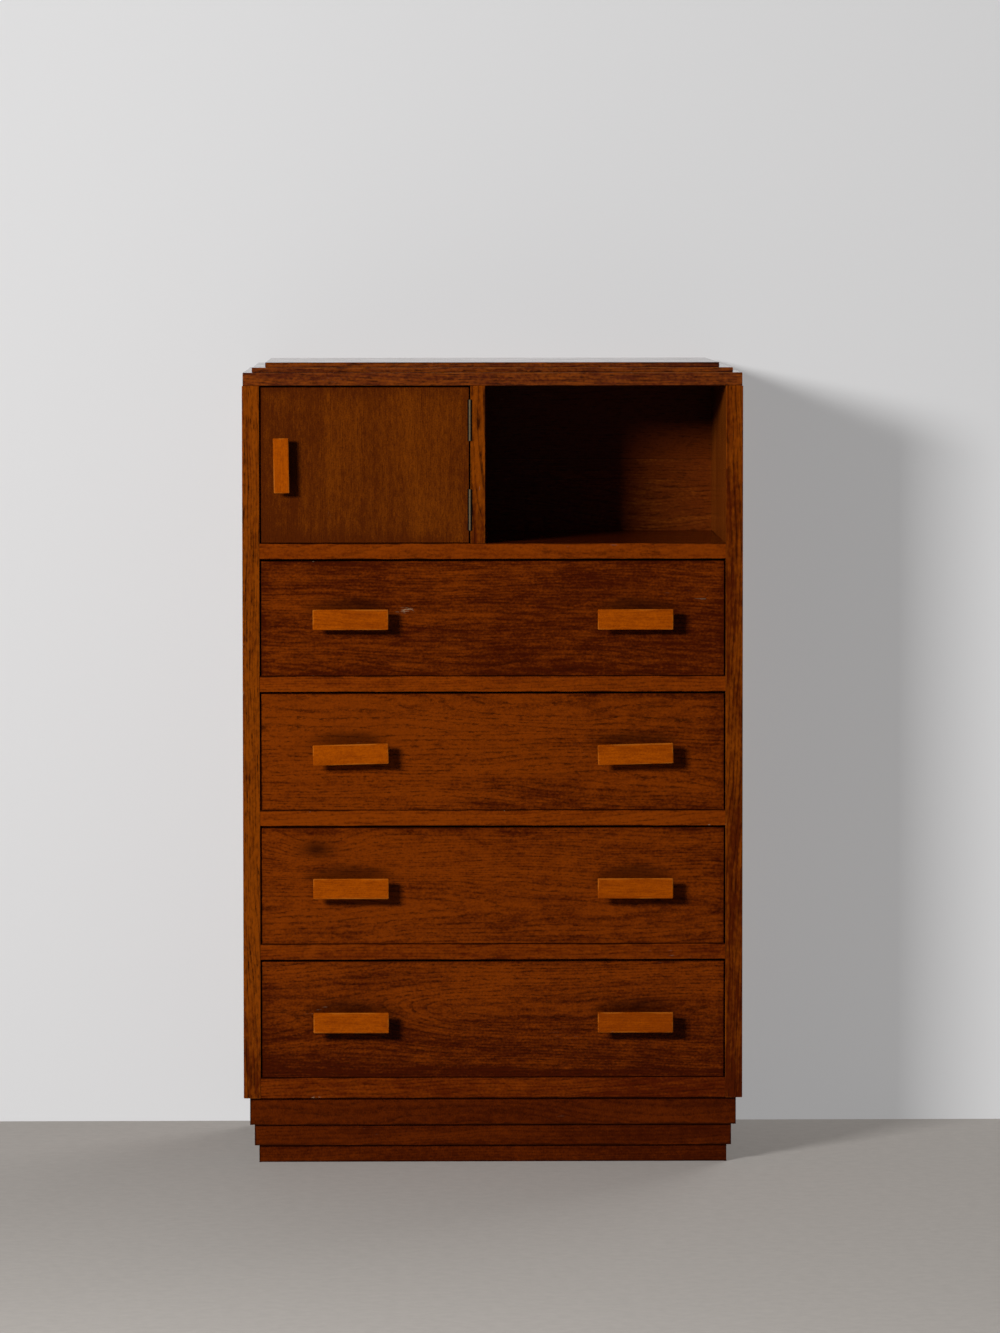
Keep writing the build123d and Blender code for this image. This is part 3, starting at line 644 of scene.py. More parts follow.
def bare_nick():
    """A broken patch of bare wood round one place on a board."""
    tree, wire, given, result = new_group("Bare nick", ("Grain", "Offset"), (), ("Bare",))
    away = wire.node("ShaderNodeVectorMath", operation="LENGTH")
    wire.feed(away.inputs[0], given["Offset"])
    within = wire.ease(away.outputs["Value"], 0.5, 1.0, 1.0, 0.0)
    broken = wire.ease(wire.noise(given["Grain"], (170.0, 700.0, 700.0), 2.0), 0.54, 0.64)
    wire.feed(result["Bare"], wire.times(within, broken))
    return tree


def group_named(name, maker):
    """A shader node group, made the first time it is asked for."""
    return bpy.data.node_groups.get(name) or maker()


def new_finish(name):
    """An empty material, its shader and what wires it."""
    material = bpy.data.materials.new(name)
    material.use_nodes = True
    wire = Wiring(material.node_tree)
    shader = next(node for node in wire.tree.nodes if node.type == "BSDF_PRINCIPLED")
    return material, wire, shader.inputs


def oak_finish(name, light, dark, pore, worn, shaded_lower_arrises=False, plank=10.0, ring=3.6 * MM, fineness=1.0,
               length=1.0, wear=0.35, wear_width=1.4 * MM, contrast=1.0, line_share=0.4, pore_share=0.7,
               rim=0.0, foot=0.0, chip=0.6, pull_dark_share=0.0, roughness=0.5, varnish=1.0, film_index=1.1,
               polish=0.16, bump=0.35):
    """A wood finish over the oak figure: stain, pores, arrises that are rubbed light or carry painted shade,
    chips and scuffs.
    """
    known = bpy.data.materials.get(name)
    if known:
        return known
    material, wire, shader = new_finish(name)
    grain, half, log, knot, offset = (
        wire.attribute(title).outputs["Vector"] for title in ("grain", "half", "log", "knot", "nick")
    )
    board, shade, bold = (wire.attribute(title).outputs["Fac"] for title in ("board", "shade", "bold"))
    figure = wire.group(
        group_named("Oak figure", oak_figure), grain=grain, log=log, knot=knot, board=board, ring=ring,
        fineness=fineness, length=length, plank=plank,
    )
    edges = wire.group(
        group_named("Arris wear", arris_wear), grain=grain, half=half, board=board, width=wear_width
    )
    marks = wire.group(group_named("Surface marks", surface_marks), grain=grain, board=board)

    tone = wire.times(figure["Streak"], 0.90)
    shares = (
        (figure["Patch"], 0.45), (marks["Blotch"], 0.35), (figure["Band"], 0.40), (figure["Early"], -0.06),
        (figure["Plank"], 0.16),
    )
    for mask, share in shares:
        tone = wire.times_plus(mask, share, tone)
    tone = wire.plus(tone, shade)
    if rim:
        tone = wire.times_plus(edges["Rim"], -rim, tone)
    if foot:
        above = wire.plus(wire.split(grain)[0], wire.split(half)[0])
        tone = wire.minus(tone, wire.ease(above, 0.0, 0.13, foot, 0.0))
    spread = TONE_SPREAD / contrast
    tone = wire.ease(tone, MIDDLE_TONE - spread, MIDDLE_TONE + spread)
    colour = wire.blend(tone, dark, light)
    for mask, share in ((figure["Line"], line_share), (figure["Pore"], pore_share)):
        depth = wire.times(wire.times(mask, share), bold, clamp=True)
        colour = wire.blend(depth, colour, pore)
    colour = wire.tint(colour, figure["Core"], 0.85, pore)
    colour = wire.tint(colour, figure["Seam"], 0.6, pore)
    # Darkens the front in a soft patch round each pull.
    if pull_dark_share:
        round_pulls = wire.group(group_named("Pull darkening", pull_darkening), grain=grain, board=board, reach=PULL_REACH)
        colour = wire.tint(colour, round_pulls["Darkening"], pull_dark_share, pore)
    arris = worn
    # Painted shade: the lower arrises take the pore stain and only the upper ones the rubbed colour.
    if shaded_lower_arrises:
        upper = wire.ease(wire.split(grain)[2], -0.3 * MM, 0.3 * MM)
        arris = wire.blend(upper, pore, worn)
    nick = wire.group(group_named("Bare nick", bare_nick), grain=grain, offset=offset)
    # Arrises take the arris colour: rubbed stain on some boards, and on others pore stain as painted shade
    # along the gaps, steps and tiers.
    colour = wire.tint(colour, edges["Rubbed"], wear, arris)
    colour = wire.tint(colour, edges["Chipped"], chip, BARE_WOOD)
    colour = wire.tint(colour, marks["Scuff"], 0.25, SCUFFED_WOOD)
    colour = wire.tint(colour, nick["Bare"], 0.8 * chip, BARE_WOOD)
    wire.feed(shader["Base Color"], colour)

    dull = wire.times_plus(wire.minus(marks["Satin"], 0.5), 0.35, roughness)
    dull = wire.times_plus(figure["Pore"], 0.22, dull)
    wire.feed(shader["Roughness"], dull)
    shader["Specular IOR Level"].default_value = 0.0
    if varnish:
        film = wire.ease(marks["Satin"], 0.3, 0.7, 0.7 * varnish, 0.9 * varnish)
        film = wire.times_plus(figure["Pore"], -0.3 * varnish, film)
        wire.feed(shader["Coat Weight"], film)
        shader["Coat Roughness"].default_value = polish
        shader["Coat IOR"].default_value = film_index
    height = wire.times_plus(marks["Satin"], 0.12, figure["Height"])
    wire.feed(shader["Normal"], wire.bump(height, bump, 0.4 * MM))
    return material


def metal_finish(name, bright, dull, roughness, tarnish, painted_front_highlight=False):
    """Worn metal: bright metal under patches of tarnish; with the front-face setting, everything but the
    faces turned to the front takes the dark colour, leaving a painted highlight down the front.
    """
    known = bpy.data.materials.get(name)
    if known:
        return known
    material, wire, shader = new_finish(name)
    coordinates = wire.node("ShaderNodeTexCoord")
    place = coordinates.outputs["Object"]
    clouds = wire.noise(place, (160.0, 160.0, 110.0), 4.0, 0.65)
    specks = wire.noise(place, (900.0, 900.0, 900.0), 2.0, 0.6)
    share = wire.times_plus(specks, 0.35, clouds)
    share = wire.ease(share, 0.72 - tarnish, 0.95 - tarnish)
    # Painted highlight: faces turned to the front stay bright, all others take the dark colour.
    if painted_front_highlight:
        away = wire.ease(wire.split(coordinates.outputs["Normal"])[1], -0.99, -0.86)
        share = wire.math("MAXIMUM", share, away)
    wire.feed(shader["Base Color"], wire.blend(share, bright, dull))
    wire.feed(shader["Roughness"], wire.times_plus(share, 0.3, roughness))
    wire.feed(shader["Metallic"], wire.ease(share, 0.0, 1.0, 1.0, 0.55))
    wire.feed(shader["Normal"], wire.bump(specks, 0.2, 0.1 * MM))
    return material


# Finishes of this chest


# The top's lower arrises carry painted shade.
TOP_WOOD = dict(
    shaded_lower_arrises=True, plank=PLANK_WIDTH, fineness=0.9, length=1.3, contrast=1.2, pore_share=0.9, wear=0.75,
    wear_width=1.3 * MM, varnish=1.25, film_index=1.2, polish=0.07,
)

# Lighter and darker stain, stain in the pores, the colour along the arrises, and what differs from a usual
# finish. Where the arrises take the pore stain, that is painted shade along the gaps, steps and tiers.
WOODS = {
    "Upright oak": (
        ("frame_light", "frame_dark", "pore", "worn"),
        dict(plank=PLANK_WIDTH, fineness=0.75, length=1.8, contrast=1.35, line_share=0.7, pore_share=0.9,
             foot=0.17, wear=0.25),
    ),
    "Inner oak": (
        ("inner_light", "inner_dark", "pore", "worn"),
        dict(plank=PLANK_WIDTH, ring=2.2 * MM, length=1.4, contrast=0.9, pore_share=0.6, wear=0.0, chip=0.0),
    ),
    # Rails: arrises in pore stain, painted shade along the drawer gaps.
    "Rail oak": (
        ("rail_light", "rail_dark", "pore", "pore"),
        dict(contrast=0.9, line_share=0.3, pore_share=0.55, wear=0.9, wear_width=1.5 * MM),
    ),
    "Top oak": (("frame_light", "frame_dark", "pore", "worn"), TOP_WOOD),
    # Upper step: all its arrises in pore stain, painted shade along the step.
    "Upper step oak": (("frame_light", "frame_dark", "pore", "pore"), TOP_WOOD),
    # Drawer fronts: arrises in pore stain, painted shade along the gaps.
    "Drawer front oak": (
        ("front_light", "front_dark", "pore", "pore"),
        dict(contrast=1.1, line_share=0.3, pore_share=0.62, rim=0.10, pull_dark_share=0.65, wear=0.7,
             wear_width=1.4 * MM),
    ),
    # Plinth: arrises in pore stain, painted shade lines between the tiers.
    "Plinth oak": (
        ("plinth_light", "plinth_dark", "pore", "pore"),
        dict(length=0.4, contrast=1.05, line_share=0.2, pore_share=0.5, wear=0.9, wear_width=2.2 * MM),
    ),
    # Door: arrises in pore stain, painted shade along its gaps.
    "Door oak": (
        ("door_light", "door_dark", "pore", "pore"),
        dict(ring=1.7 * MM, fineness=1.7, length=0.8, contrast=1.0, line_share=0.15, pore_share=0.6, rim=0.14,
             wear=0.3, wear_width=1.0 * MM, varnish=0.6, bump=0.25),
    ),
    "Honey oak": (
        ("pull_light", "pull_dark", "pull_pore", "pull_worn"),
        dict(ring=2.2 * MM, fineness=1.5, contrast=1.25, line_share=0.1, pore_share=0.45, wear=0.7,
             wear_width=1.8 * MM, chip=0.3, bump=0.15),
    ),
    "Lining oak": (
        ("lining_light", "lining_dark", "lining_pore", "lining_light"),
        dict(contrast=0.8, pore_share=0.5, wear=0.3, chip=0.0, roughness=0.62, varnish=0.0),
    ),
    "Bare ply": (
        ("ply_light", "ply_dark", "lining_pore", "ply_light"),
        dict(ring=6.0 * MM, contrast=0.8, pore_share=0.35, wear=0.3, chip=0.0, roughness=0.66, varnish=0.0),
    ),
}

# Bright metal, its tarnish, roughness, spread of the tarnish, and whether only the faces turned to the front
# stay bright, as a painted highlight.
METALS = {
    "Old brass": ((0.34, 0.25, 0.14), (0.008, 0.005, 0.004), 0.45, -0.05, True),
    "Dull steel": ((0.36, 0.35, 0.34), (0.12, 0.075, 0.045), 0.4, 0.0, False),
}


def wood(context, name):
    """The finish of one of the chest's woods."""
    stains, settings = WOODS[name]
    return oak_finish(name, *(getattr(context.scene.chest_stain, stain) for stain in stains), **settings)


def metal(name):
    """The finish of one of the chest's metals."""
    return metal_finish(name, *METALS[name])


# Settings


def colour_setting(name, description, default):
    return FloatVectorProperty(
        name=name, description=description, default=default, subtype="COLOR", min=0.0, max=1.0
    )


def length_setting(name, description, default):
    return FloatProperty(name=name, description=description, default=default, unit="LENGTH")


def pair_setting(name, description, default):
    return FloatVectorProperty(name=name, description=description, default=default, size=2, unit="LENGTH")


def angle_setting(name, description, default):
    return FloatProperty(name=name, description=description, default=math.radians(default), subtype="ANGLE")


class ChestStain(bpy.types.PropertyGroup):
    """Colours of the stains and of the bare wood."""

    frame_light: colour_setting("Frame light", "Lighter stain of sides and top", (0.235, 0.047, 0.0012))
    frame_dark: colour_setting("Frame dark", "Darker stain of sides and top", (0.075, 0.0095, 0.0006))
    rail_light: colour_setting("Rail light", "Lighter stain of the rails", (0.235, 0.040, 0.001))
    rail_dark: colour_setting("Rail dark", "Darker stain of the rails", (0.075, 0.008, 0.0005))
    front_light: colour_setting("Front light", "Lighter stain of the drawer fronts", (0.205, 0.034, 0.0008))
    front_dark: colour_setting("Front dark", "Darker stain of the drawer fronts", (0.05, 0.0055, 0.0004))
    plinth_light: colour_setting("Plinth light", "Lighter stain of the plinth", (0.125, 0.0185, 0.0006))
    plinth_dark: colour_setting("Plinth dark", "Darker stain of the plinth", (0.05, 0.0060, 0.0004))
    door_light: colour_setting("Door light", "Lighter stain of the door", (0.185, 0.039, 0.0014))
    door_dark: colour_setting("Door dark", "Darker stain of the door", (0.078, 0.0135, 0.0012))
    pore: colour_setting("Pores", "Stain that has gathered in the pores", (0.021, 0.0036, 0.0004))
    worn: colour_setting("Worn edge", "Stain rubbed thin along the arrises", (0.33, 0.085, 0.006))
    inner_light: colour_setting("Inner light", "Lighter stain of the inner faces", (0.34, 0.080, 0.006))
    inner_dark: colour_setting("Inner dark", "Darker stain of the inner faces", (0.13, 0.023, 0.002))
    pull_light: colour_setting("Pull light", "Lighter honey of the pulls", (0.40, 0.076, 0.0006))
    pull_dark: colour_setting("Pull dark", "Darker honey of the pulls", (0.25, 0.042, 0.0004))
    pull_pore: colour_setting("Pull pores", "Pores of the pulls", (0.15, 0.024, 0.001))
    pull_worn: colour_setting("Pull edge", "Rubbed edges of the pulls", (0.5, 0.14, 0.012))
    lining_light: colour_setting("Lining light", "Lighter bare wood", (0.50, 0.32, 0.165))
    lining_dark: colour_setting("Lining dark", "Darker bare wood", (0.31, 0.175, 0.08))
    lining_pore: colour_setting("Lining pores", "Dirt in the pores of bare wood", (0.12, 0.062, 0.028))
    ply_light: colour_setting("Ply light", "Lighter plywood", (0.46, 0.29, 0.15))
    ply_dark: colour_setting("Ply dark", "Darker plywood", (0.30, 0.17, 0.08))


class ChestShape(bpy.types.PropertyGroup):
    """Sizes that only the looks use."""

    arris: length_setting("Arris", "Radius of softened board edges", 0.9 * MM)
    fine_arris: length_setting("Fine arris", "Radius of the door's and the steps' edges", 0.6 * MM)
    foot_arris: length_setting("Foot arris", "Radius to which the plinth's foot is worn", 3.0 * MM)
    plinth_strip: length_setting("Plinth strip", "Width of the lowest plinth strips", 38 * MM)
    pull_edge: length_setting("Pull edge", "Radius of the bars' edges", 1.4 * MM)
    drawer_pull_bar: length_setting("Drawer pull bar", "Thickness of a drawer pull's bar", 8 * MM)
    drawer_pull_neck: pair_setting(
        "Drawer pull neck", "Length and height of a drawer pull's neck", (62 * MM, 13 * MM)
    )
    door_pull_bar: length_setting("Door pull bar", "Thickness of the door pull's bar", 7 * MM)
    door_pull_neck: pair_setting(
        "Door pull neck", "Length and height of the door pull's neck", (44 * MM, 9 * MM)
    )
    drawer_pull_turn: angle_setting("Loose pulls", "Turn of the pulls of the second drawer", 1.5)
    door_pull_turn: angle_setting("Door pull turn", "Lean of the door pull", 1.0)


class ChestStage(bpy.types.PropertyGroup):
    """Floor, wall and light."""

    floor: colour_setting("Floor", "Colour of the floor", (0.46, 0.43, 0.40))
    wall: colour_setting("Wall", "Colour of the wall", (0.72, 0.72, 0.725))
    wall_gap: length_setting("Wall gap", "Gap between the chest and the wall", 22 * MM)
    key_power: FloatProperty(
        name="Key light", description="Power of the key light in watts", default=186.0, min=0.0
    )
    key_place: FloatVectorProperty(
        name="Key place", description="Where the key light stands", default=(-2.28, -4.05, 1.75),
        subtype="XYZ", unit="LENGTH",
    )
    key_size: pair_setting("Key size", "Width and height of the key light", (1.0, 0.55))
    ambient: FloatProperty(name="Ambient", description="Strength of the room's light", default=0.015, min=0.0)


# Pieces


class CHEST_OT_side_panels(bpy.types.Operator):
    """Dress the two side panels"""

    bl_idname = "chest.side_panels"
    bl_label = "Side panels"

    def execute(self, context):
        for hand in HANDS:
            dress_board(
                f"side_panel_{hand}", "Z", wood(context, "Upright oak"), context.scene.chest_shape.arris,
                inside=wood(context, "Inner oak"), inside_normal=(1 if hand == "left" else -1, 0, 0),
            )
        return {"FINISHED"}


class CHEST_OT_stepped_top(bpy.types.Operator):
    """Dress the top board and the two thin steps on it"""

    bl_idname = "chest.stepped_top"
    bl_label = "Stepped top"

    def execute(self, context):
        shape = context.scene.chest_shape
        dress_board("top_board", "X", wood(context, "Top oak"), shape.arris)
        dress_board("top_step_middle", "X", wood(context, "Top oak"), shape.fine_arris)
        dress_board("top_step_upper", "X", wood(context, "Upper step oak"), shape.fine_arris)
        return {"FINISHED"}


class CHEST_OT_rails(bpy.types.Operator):
    """Dress the rails between and under the drawers"""

    bl_idname = "chest.rails"
    bl_label = "Rails"

    def execute(self, context):
        for node in ("drawer_rails", "bottom_rail"):
            dress_board(node, "X", wood(context, "Rail oak"), context.scene.chest_shape.arris)
        return {"FINISHED"}


class CHEST_OT_compartments(bpy.types.Operator):
    """Dress the floor of the compartments and the divider"""

    bl_idname = "chest.compartments"
    bl_label = "Compartments"

    def execute(self, context):
        arris = context.scene.chest_shape.arris
        # The floor's top face takes the darker plinth stain: painted shade inside the pigeon-hole.
        dress_board(
            "compartment_floor", "X", wood(context, "Rail oak"), arris,
            inside=wood(context, "Plinth oak"), inside_normal=(0, 0, 1),
        )
        dress_board("compartment_divider", "Z", wood(context, "Upright oak"), arris)
        return {"FINISHED"}


class CHEST_OT_plinth(bpy.types.Operator):
    """Make the strips of the three plinth frames, mitred at the front"""

    bl_idname = "chest.plinth"
    bl_label = "Plinth"

    def execute(self, context):
        sizes = context.scene.chest_shape
        low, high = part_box("plinth_lower")
        inner_half = high.x - sizes.plinth_strip
        inner_near = low.y + sizes.plinth_strip
        inner_far = high.y - sizes.plinth_strip
        for node in ("plinth_lower", "plinth_middle", "plinth_upper"):
            low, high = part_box(node)
            corners = [Vector((hand * high.x, low.y, low.z)) for hand in (-1, 1)]
            strips = {
                "front": ("X", low, (high.x, inner_near, high.z), [(-1, 1), (1, 1)]),
                "left": ("Y", low, (-inner_half, high.y, high.z), [(1, -1), None]),
                "right": ("Y", (inner_half, low.y, low.z), high, [None, (-1, -1)]),
                "back": ("X", (-inner_half, inner_far, low.z), (inner_half, high.y, high.z), [None, None]),
            }
            for title, (grain, start, end, mitres) in strips.items():
                strip = bmesh.new()
                block(strip, start, end)
                for corner, outward in zip(corners, mitres):
                    if outward:
                        self.saw(strip, corner, (*outward, 0))
                if node == "plinth_lower":
                    foot = [edge for edge in long_arrises(strip) if self.is_foot(edge)]
                    round_edges(strip, foot, sizes.foot_arris, FOOT_SEGMENTS)
                round_edges(strip, long_arrises(strip), sizes.arris, ARRIS_SEGMENTS)
                # Where a mitre leaves no room for rounding, its points lie in one place.
                bmesh.ops.remove_doubles(strip, verts=strip.verts, dist=WELD)
                mark_grain(strip, f"{node} {title}", grain)
                settle(strip, f"{node}_{title}", node, [wood(context, "Plinth oak")])
        return {"FINISHED"}

    def is_foot(self, edge):
        """Whether an edge runs along the outside of the chest where it stands on the floor."""
        low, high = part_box("plinth_lower")
        middle = (edge.verts[0].co + edge.verts[1].co) / 2
        inset = min(middle.x - low.x, high.x - middle.x, middle.y - low.y, high.y - middle.y)
        return inset < 0.1 * MM and middle.z - low.z < 0.1 * MM

    def saw(self, strip, corner, outward):
        """Cuts a strip off at a mitre and closes its end."""
        cut = bmesh.ops.bisect_plane(
            strip,
            geom=[*strip.verts, *strip.edges, *strip.faces],
            plane_co=corner,
            plane_no=outward,
            clear_outer=True,
        )
        rim = [part for part in cut["geom_cut"] if isinstance(part, bmesh.types.BMEdge)]
        bmesh.ops.edgeloop_fill(strip, edges=rim)


class CHEST_OT_back(bpy.types.Operator):
    """Dress the plywood back, stained inside and bare outside, and its nails"""

    bl_idname = "chest.back"
    bl_label = "Back"

    def execute(self, context):
        dress_board(
            "back_panel", "X", wood(context, "Inner oak"), context.scene.chest_shape.fine_arris,
            inside=wood(context, "Bare ply"), inside_normal=(0, 1, 0),
        )
        dress_metal("back_panel_nails", metal("Dull steel"))
        return {"FINISHED"}


class CHEST_OT_runners(bpy.types.Operator):
    """Dress the drawer runners, the drawer stops and the plinth's glue blocks"""

    bl_idname = "chest.runners"
    bl_label = "Runners, stops and blocks"

    def execute(self, context):
        for node, grain in (("drawer_runners", "Y"), ("drawer_stops", "X"), ("plinth_corner_blocks", "Z")):
            dress_board(node, grain, wood(context, "Lining oak"), context.scene.chest_shape.arris)
        return {"FINISHED"}


class CHEST_OT_drawer_boxes(bpy.types.Operator):
    """Dress the fronts, sides, backs and bottoms of the drawers"""

    bl_idname = "chest.drawer_boxes"
    bl_label = "Drawer boxes"

    def execute(self, context):
        sizes = context.scene.chest_shape
        for drawer in DRAWERS:
            dress_board(
                drawer + "_front", "X", wood(context, "Drawer front oak"), sizes.arris,
                inside=wood(context, "Lining oak"), inside_normal=(0, 1, 0),
            )
            for hand in HANDS:
                dress_board(f"{drawer}_side_{hand}", "Y", wood(context, "Lining oak"), sizes.arris)
            dress_board(drawer + "_back", "X", wood(context, "Lining oak"), sizes.arris)
            dress_board(drawer + "_bottom", "X", wood(context, "Bare ply"), sizes.fine_arris)
        return {"FINISHED"}


def make_pull(node, bar, neck, edge, turn, finish):
    """A flat bar on a narrower neck, lying along X or standing along Z, turned a little on its screws."""
    low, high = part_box(node)
    size = high - low
    grain = "X" if size.x > size.z else "Z"
    shape = bmesh.new()
    block(shape, low, (high.x, low.y + bar, high.z))
    round_edges(shape, shape.edges, edge, 4)
    rear = max(shape.faces, key=lambda face: face.normal.y * face.calc_area())
    length, height = (neck[0], neck[1]) if grain == "X" else (neck[1], neck[0])
    bmesh.ops.inset_region(shape, faces=[rear], thickness=edge, use_even_offset=True)
    middle = rear.calc_center_median()
    wide = max(vert.co.x for vert in rear.verts) - min(vert.co.x for vert in rear.verts)
    tall = max(vert.co.z for vert in rear.verts) - min(vert.co.z for vert in rear.verts)
    bmesh.ops.scale(
        shape, vec=(length / wide, 1.0, height / tall), verts=rear.verts, space=Matrix.Translation(-middle)
    )
    grown = bmesh.ops.extrude_face_region(shape, geom=[rear])
    verts = [part for part in grown["geom"] if isinstance(part, bmesh.types.BMVert)]
    bmesh.ops.translate(shape, verts=verts, vec=(0.0, high.y - low.y - bar, 0.0))
    seat = next(part for part in grown["geom"] if isinstance(part, bmesh.types.BMFace))
    if rear.is_valid:
        bmesh.ops.delete(shape, geom=[rear], context="FACES_ONLY")
    corners = [
        line for vert in seat.verts for line in vert.link_edges
        if abs(line.verts[0].co.y - line.verts[1].co.y) > bar
    ]
    round_edges(shape, corners, edge, 3)
    mark_grain(shape, node, grain)
    centre = (low + high) / 2
    bmesh.ops.rotate(shape, cent=centre, matrix=Matrix.Rotation(turn, 3, "Y"), verts=shape.verts)
    settle(shape, node + "_bar", node, [finish])


class CHEST_OT_drawer_pulls(bpy.types.Operator):
    """Make the eight pulls of the drawers"""

    bl_idname = "chest.drawer_pulls"
    bl_label = "Drawer pulls"

    def execute(self, context):
        sizes = context.scene.chest_shape
        for drawer in DRAWERS:
            for hand in HANDS:
                loose = drawer == "drawer_2"
                make_pull(
                    f"{drawer}_pull_{hand}", sizes.drawer_pull_bar, sizes.drawer_pull_neck, sizes.pull_edge,
                    -sizes.drawer_pull_turn if loose else 0.0, wood(context, "Honey oak"),
                )
        return {"FINISHED"}


class CHEST_OT_door(bpy.types.Operator):
    """Dress the door panel and make its pull"""

    bl_idname = "chest.door"
    bl_label = "Door"

    def execute(self, context):
        sizes = context.scene.chest_shape
        dress_board("door_panel", "Z", wood(context, "Door oak"), sizes.fine_arris)
        make_pull(
            "door_pull", sizes.door_pull_bar, sizes.door_pull_neck, sizes.pull_edge,
            -sizes.door_pull_turn, wood(context, "Honey oak"),
        )
        return {"FINISHED"}


class CHEST_OT_metalwork(bpy.types.Operator):
    """Finish the hinges, the ball catch and every screw"""

    bl_idname = "chest.metalwork"
    bl_label = "Hinges, catch and screws"

    def execute(self, context):
        for node in ("hinge_frame_leaves", "hinge_door_leaves", "hinge_pins", "catch_barrel", "catch_strike"):
            dress_metal(node, metal("Old brass"))
        screws = ["frame_screws", "door_screws", "catch_ball"]
        screws += [drawer + "_pull_screws" for drawer in DRAWERS]
        for node in screws:
            dress_metal(node, metal("Dull steel"))
        self.spring(metal("Dull steel"))
        return {"FINISHED"}

    def spring(self, finish):
        """The catch's spring, copied from its CAD node with a mesh of its own."""
        node, joint = "catch_spring", "catch_ball_press"
        piece = settle(merged_copy(node), node + "_coil", node, [finish])
        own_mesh(piece)


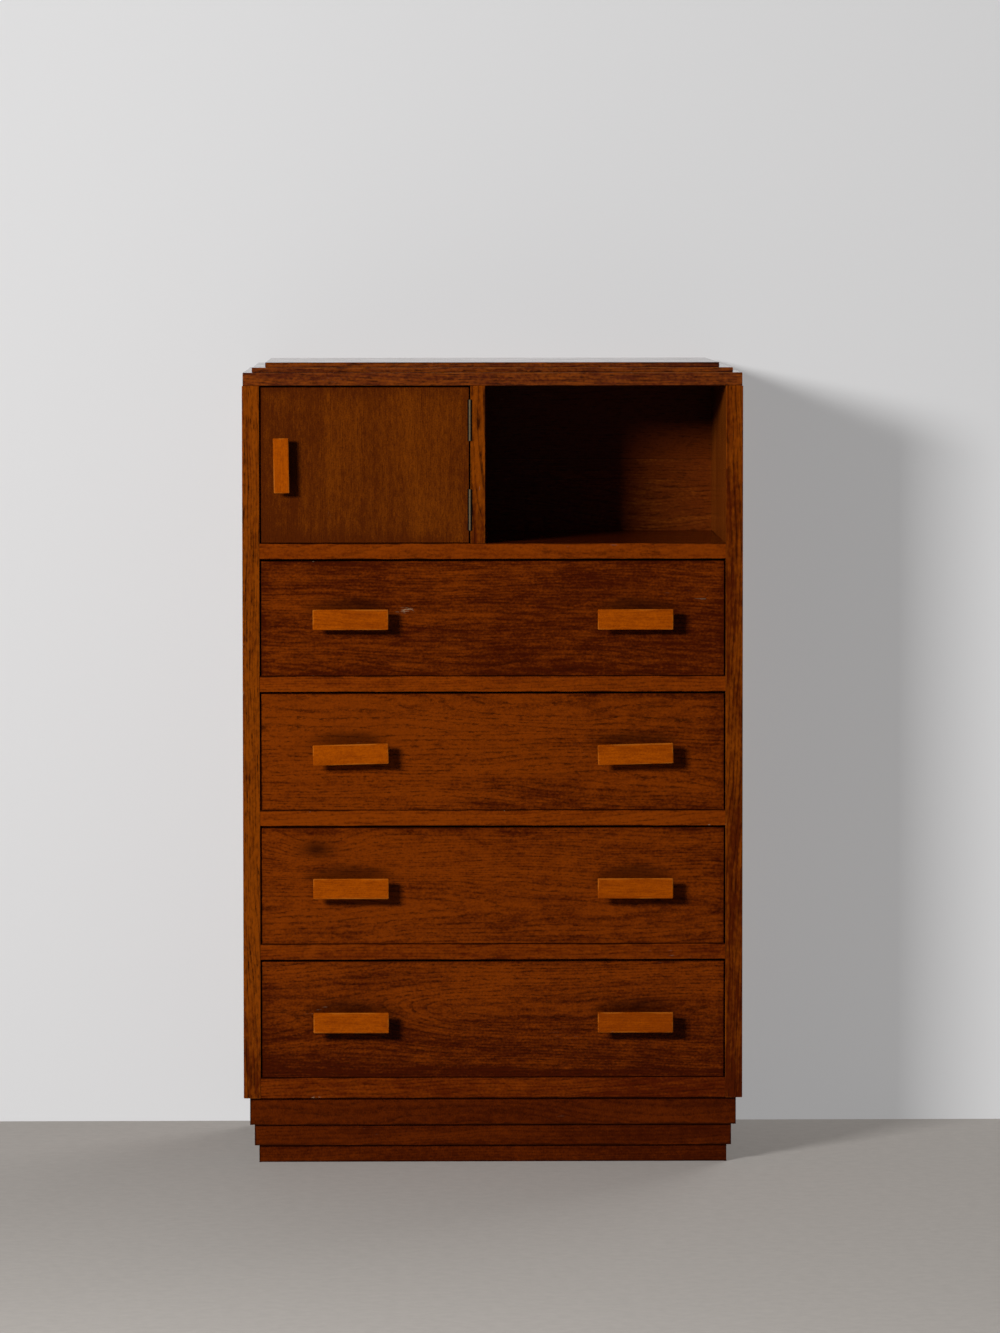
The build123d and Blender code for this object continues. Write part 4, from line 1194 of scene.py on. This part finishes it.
class CHEST_OT_stage(bpy.types.Operator):
    """Make the floor, the wall behind the chest, the lights and the camera"""

    bl_idname = "chest.stage"
    bl_label = "Stage"

    def execute(self, context):
        stage = context.scene.chest_stage
        self.floor(stage)
        self.wall(stage)
        self.world(context, stage)
        aim = (0.0, cad_box[0].y, AIM_HEIGHT)
        self.lamp("Key light", stage.key_place, aim, stage.key_power, stage.key_size)
        self.lamp("Back fill", FILL_PLACE, (0.0, 0.0, AIM_HEIGHT), FILL_POWER, FILL_SIZE)
        self.camera(context)
        context.scene.view_settings.view_transform = "Standard"
        return {"FINISHED"}

    def sheet(self, name, matrix, finish):
        """A flat piece of the stage."""
        shape = bmesh.new()
        bmesh.ops.create_grid(shape, x_segments=1, y_segments=1, size=STAGE_REACH, matrix=matrix)
        mesh = bpy.data.meshes.new(name)
        shape.to_mesh(mesh)
        shape.free()
        made = bpy.data.objects.new(name, mesh)
        bpy.context.scene.collection.objects.link(made)
        mesh.materials.append(finish)

    def floor(self, stage):
        material, wire, shader = new_finish("Floor")
        place = wire.node("ShaderNodeTexCoord").outputs["Object"]
        clouds = wire.noise(place, (60.0, 60.0, 60.0), 5.0, 0.7)
        tint = wire.ease(clouds, 0.25, 0.75, 0.95, 1.04)
        colour = wire.blend(1.0, stage.floor, tint, "MULTIPLY")
        wire.feed(shader["Emission Color"], colour)
        # Painted shade: the floor's colour darkens near the key light's foot, to even out the light that
        # pools there.
        under_lamp = wire.node("ShaderNodeVectorMath", operation="DISTANCE")
        wire.feed(under_lamp.inputs[0], place)
        under_lamp.inputs[1].default_value = (stage.key_place[0], stage.key_place[1], 0.0)
        painted_lamp_shade = wire.ease(under_lamp.outputs["Value"], 0.5, 3.6, 0.22, 1.0)
        wire.feed(shader["Base Color"], wire.blend(1.0, colour, painted_lamp_shade, "MULTIPLY"))
        wire.feed(shader["Emission Strength"], wire.times(self.seen(wire), 0.22))
        shader["Roughness"].default_value = 0.7
        shader["Specular IOR Level"].default_value = 0.1
        self.sheet("studio_floor", Matrix.Identity(4), material)

    def seen(self, wire):
        """One for what the camera sees, straight on or in a reflection, and none for other light."""
        path = wire.node("ShaderNodeLightPath").outputs
        straight = wire.math("MAXIMUM", path["Is Camera Ray"], path["Is Transmission Ray"])
        return wire.math("MAXIMUM", straight, path["Is Glossy Ray"])

    def wall(self, stage):
        """The wall shows to the camera and in reflections, from its front only, and stops no light."""
        material = bpy.data.materials.new("Wall")
        material.use_nodes = True
        wire = Wiring(material.node_tree)
        wire.tree.nodes.clear()
        rear = wire.node("ShaderNodeNewGeometry").outputs["Backfacing"]
        seen = wire.times(self.seen(wire), wire.minus(1.0, rear))
        paint = wire.node("ShaderNodeBsdfPrincipled").inputs
        paint["Base Color"].default_value = (*(0.68 * part for part in stage.wall), 1.0)
        paint["Roughness"].default_value = 0.8
        paint["Specular IOR Level"].default_value = 0.0
        paint["Emission Color"].default_value = (*stage.wall, 1.0)
        paint["Emission Strength"].default_value = 0.42
        clear = wire.node("ShaderNodeBsdfTransparent")
        mix = wire.node("ShaderNodeMixShader")
        wire.feed(mix.inputs[0], seen)
        wire.feed(mix.inputs[1], clear.outputs[0])
        wire.feed(mix.inputs[2], paint["Base Color"].node.outputs[0])
        wire.feed(wire.node("ShaderNodeOutputMaterial").inputs["Surface"], mix.outputs[0])
        upright = Matrix.Rotation(math.radians(90), 4, "X")
        place = Matrix.Translation((0.0, cad_box[1].y + stage.wall_gap, 0.0))
        self.sheet("studio_wall", place @ upright, material)

    def world(self, context, stage):
        world = bpy.data.worlds.new("Room")
        world.use_nodes = True
        context.scene.world = world
        wire = Wiring(world.node_tree)
        backdrop = next(node for node in wire.tree.nodes if node.type == "BACKGROUND")
        backdrop.inputs["Color"].default_value = (1.0, 0.99, 0.98, 1.0)
        wire.feed(backdrop.inputs["Strength"], wire.ease(self.seen(wire), 0.0, 1.0, stage.ambient, 0.5))

    def lamp(self, name, place, aim, power, size):
        """A rectangular soft light."""
        data = bpy.data.lights.new(name, "AREA")
        data.energy = power
        data.shape = "RECTANGLE"
        data.size, data.size_y = size
        made = bpy.data.objects.new(name, data)
        bpy.context.scene.collection.objects.link(made)
        made.visible_camera = False
        made.visible_glossy = False
        made.location = place
        made.rotation_euler = (Vector(aim) - Vector(place)).to_track_quat("-Z", "Y").to_euler()

    def camera(self, context):
        data = bpy.data.cameras.new("Camera")
        data.sensor_width = CAMERA_SENSOR
        data.lens = CAMERA_LENS
        data.clip_end = 100.0
        made = bpy.data.objects.new("Camera", data)
        context.scene.collection.objects.link(made)
        made.location = CAMERA_PLACE
        made.rotation_euler = [math.radians(turn) for turn in CAMERA_TURN]
        context.scene.camera = made


OPERATORS = (
    CHEST_OT_side_panels,
    CHEST_OT_stepped_top,
    CHEST_OT_rails,
    CHEST_OT_compartments,
    CHEST_OT_plinth,
    CHEST_OT_back,
    CHEST_OT_runners,
    CHEST_OT_drawer_boxes,
    CHEST_OT_drawer_pulls,
    CHEST_OT_door,
    CHEST_OT_metalwork,
    CHEST_OT_stage,
)


class CHEST_PT_dressing(bpy.types.Panel):
    """Lists the steps that dress the chest"""

    bl_idname = "CHEST_PT_dressing"
    bl_label = "Oak chest"
    bl_space_type = "VIEW_3D"
    bl_region_type = "UI"
    bl_category = "Chest"

    def draw(self, context):
        for settings in (context.scene.chest_shape, context.scene.chest_stain, context.scene.chest_stage):
            for name in settings.__annotations__:
                self.layout.prop(settings, name)
        for operator in OPERATORS:
            self.layout.operator(operator.bl_idname)


SETTINGS = {"chest_shape": ChestShape, "chest_stain": ChestStain, "chest_stage": ChestStage}
CLASSES = (*SETTINGS.values(), *OPERATORS, CHEST_PT_dressing)


def register():
    for item in CLASSES:
        bpy.utils.register_class(item)
    for name, group in SETTINGS.items():
        setattr(bpy.types.Scene, name, PointerProperty(type=group))


def unregister():
    for name in SETTINGS:
        delattr(bpy.types.Scene, name)
    for item in reversed(CLASSES):
        bpy.utils.unregister_class(item)


def main():
    """Dresses the chest step by step."""
    register()
    for operator in OPERATORS:
        area, name = operator.bl_idname.split(".")
        getattr(getattr(bpy.ops, area), name)()


if __name__ == "__main__":
    main()
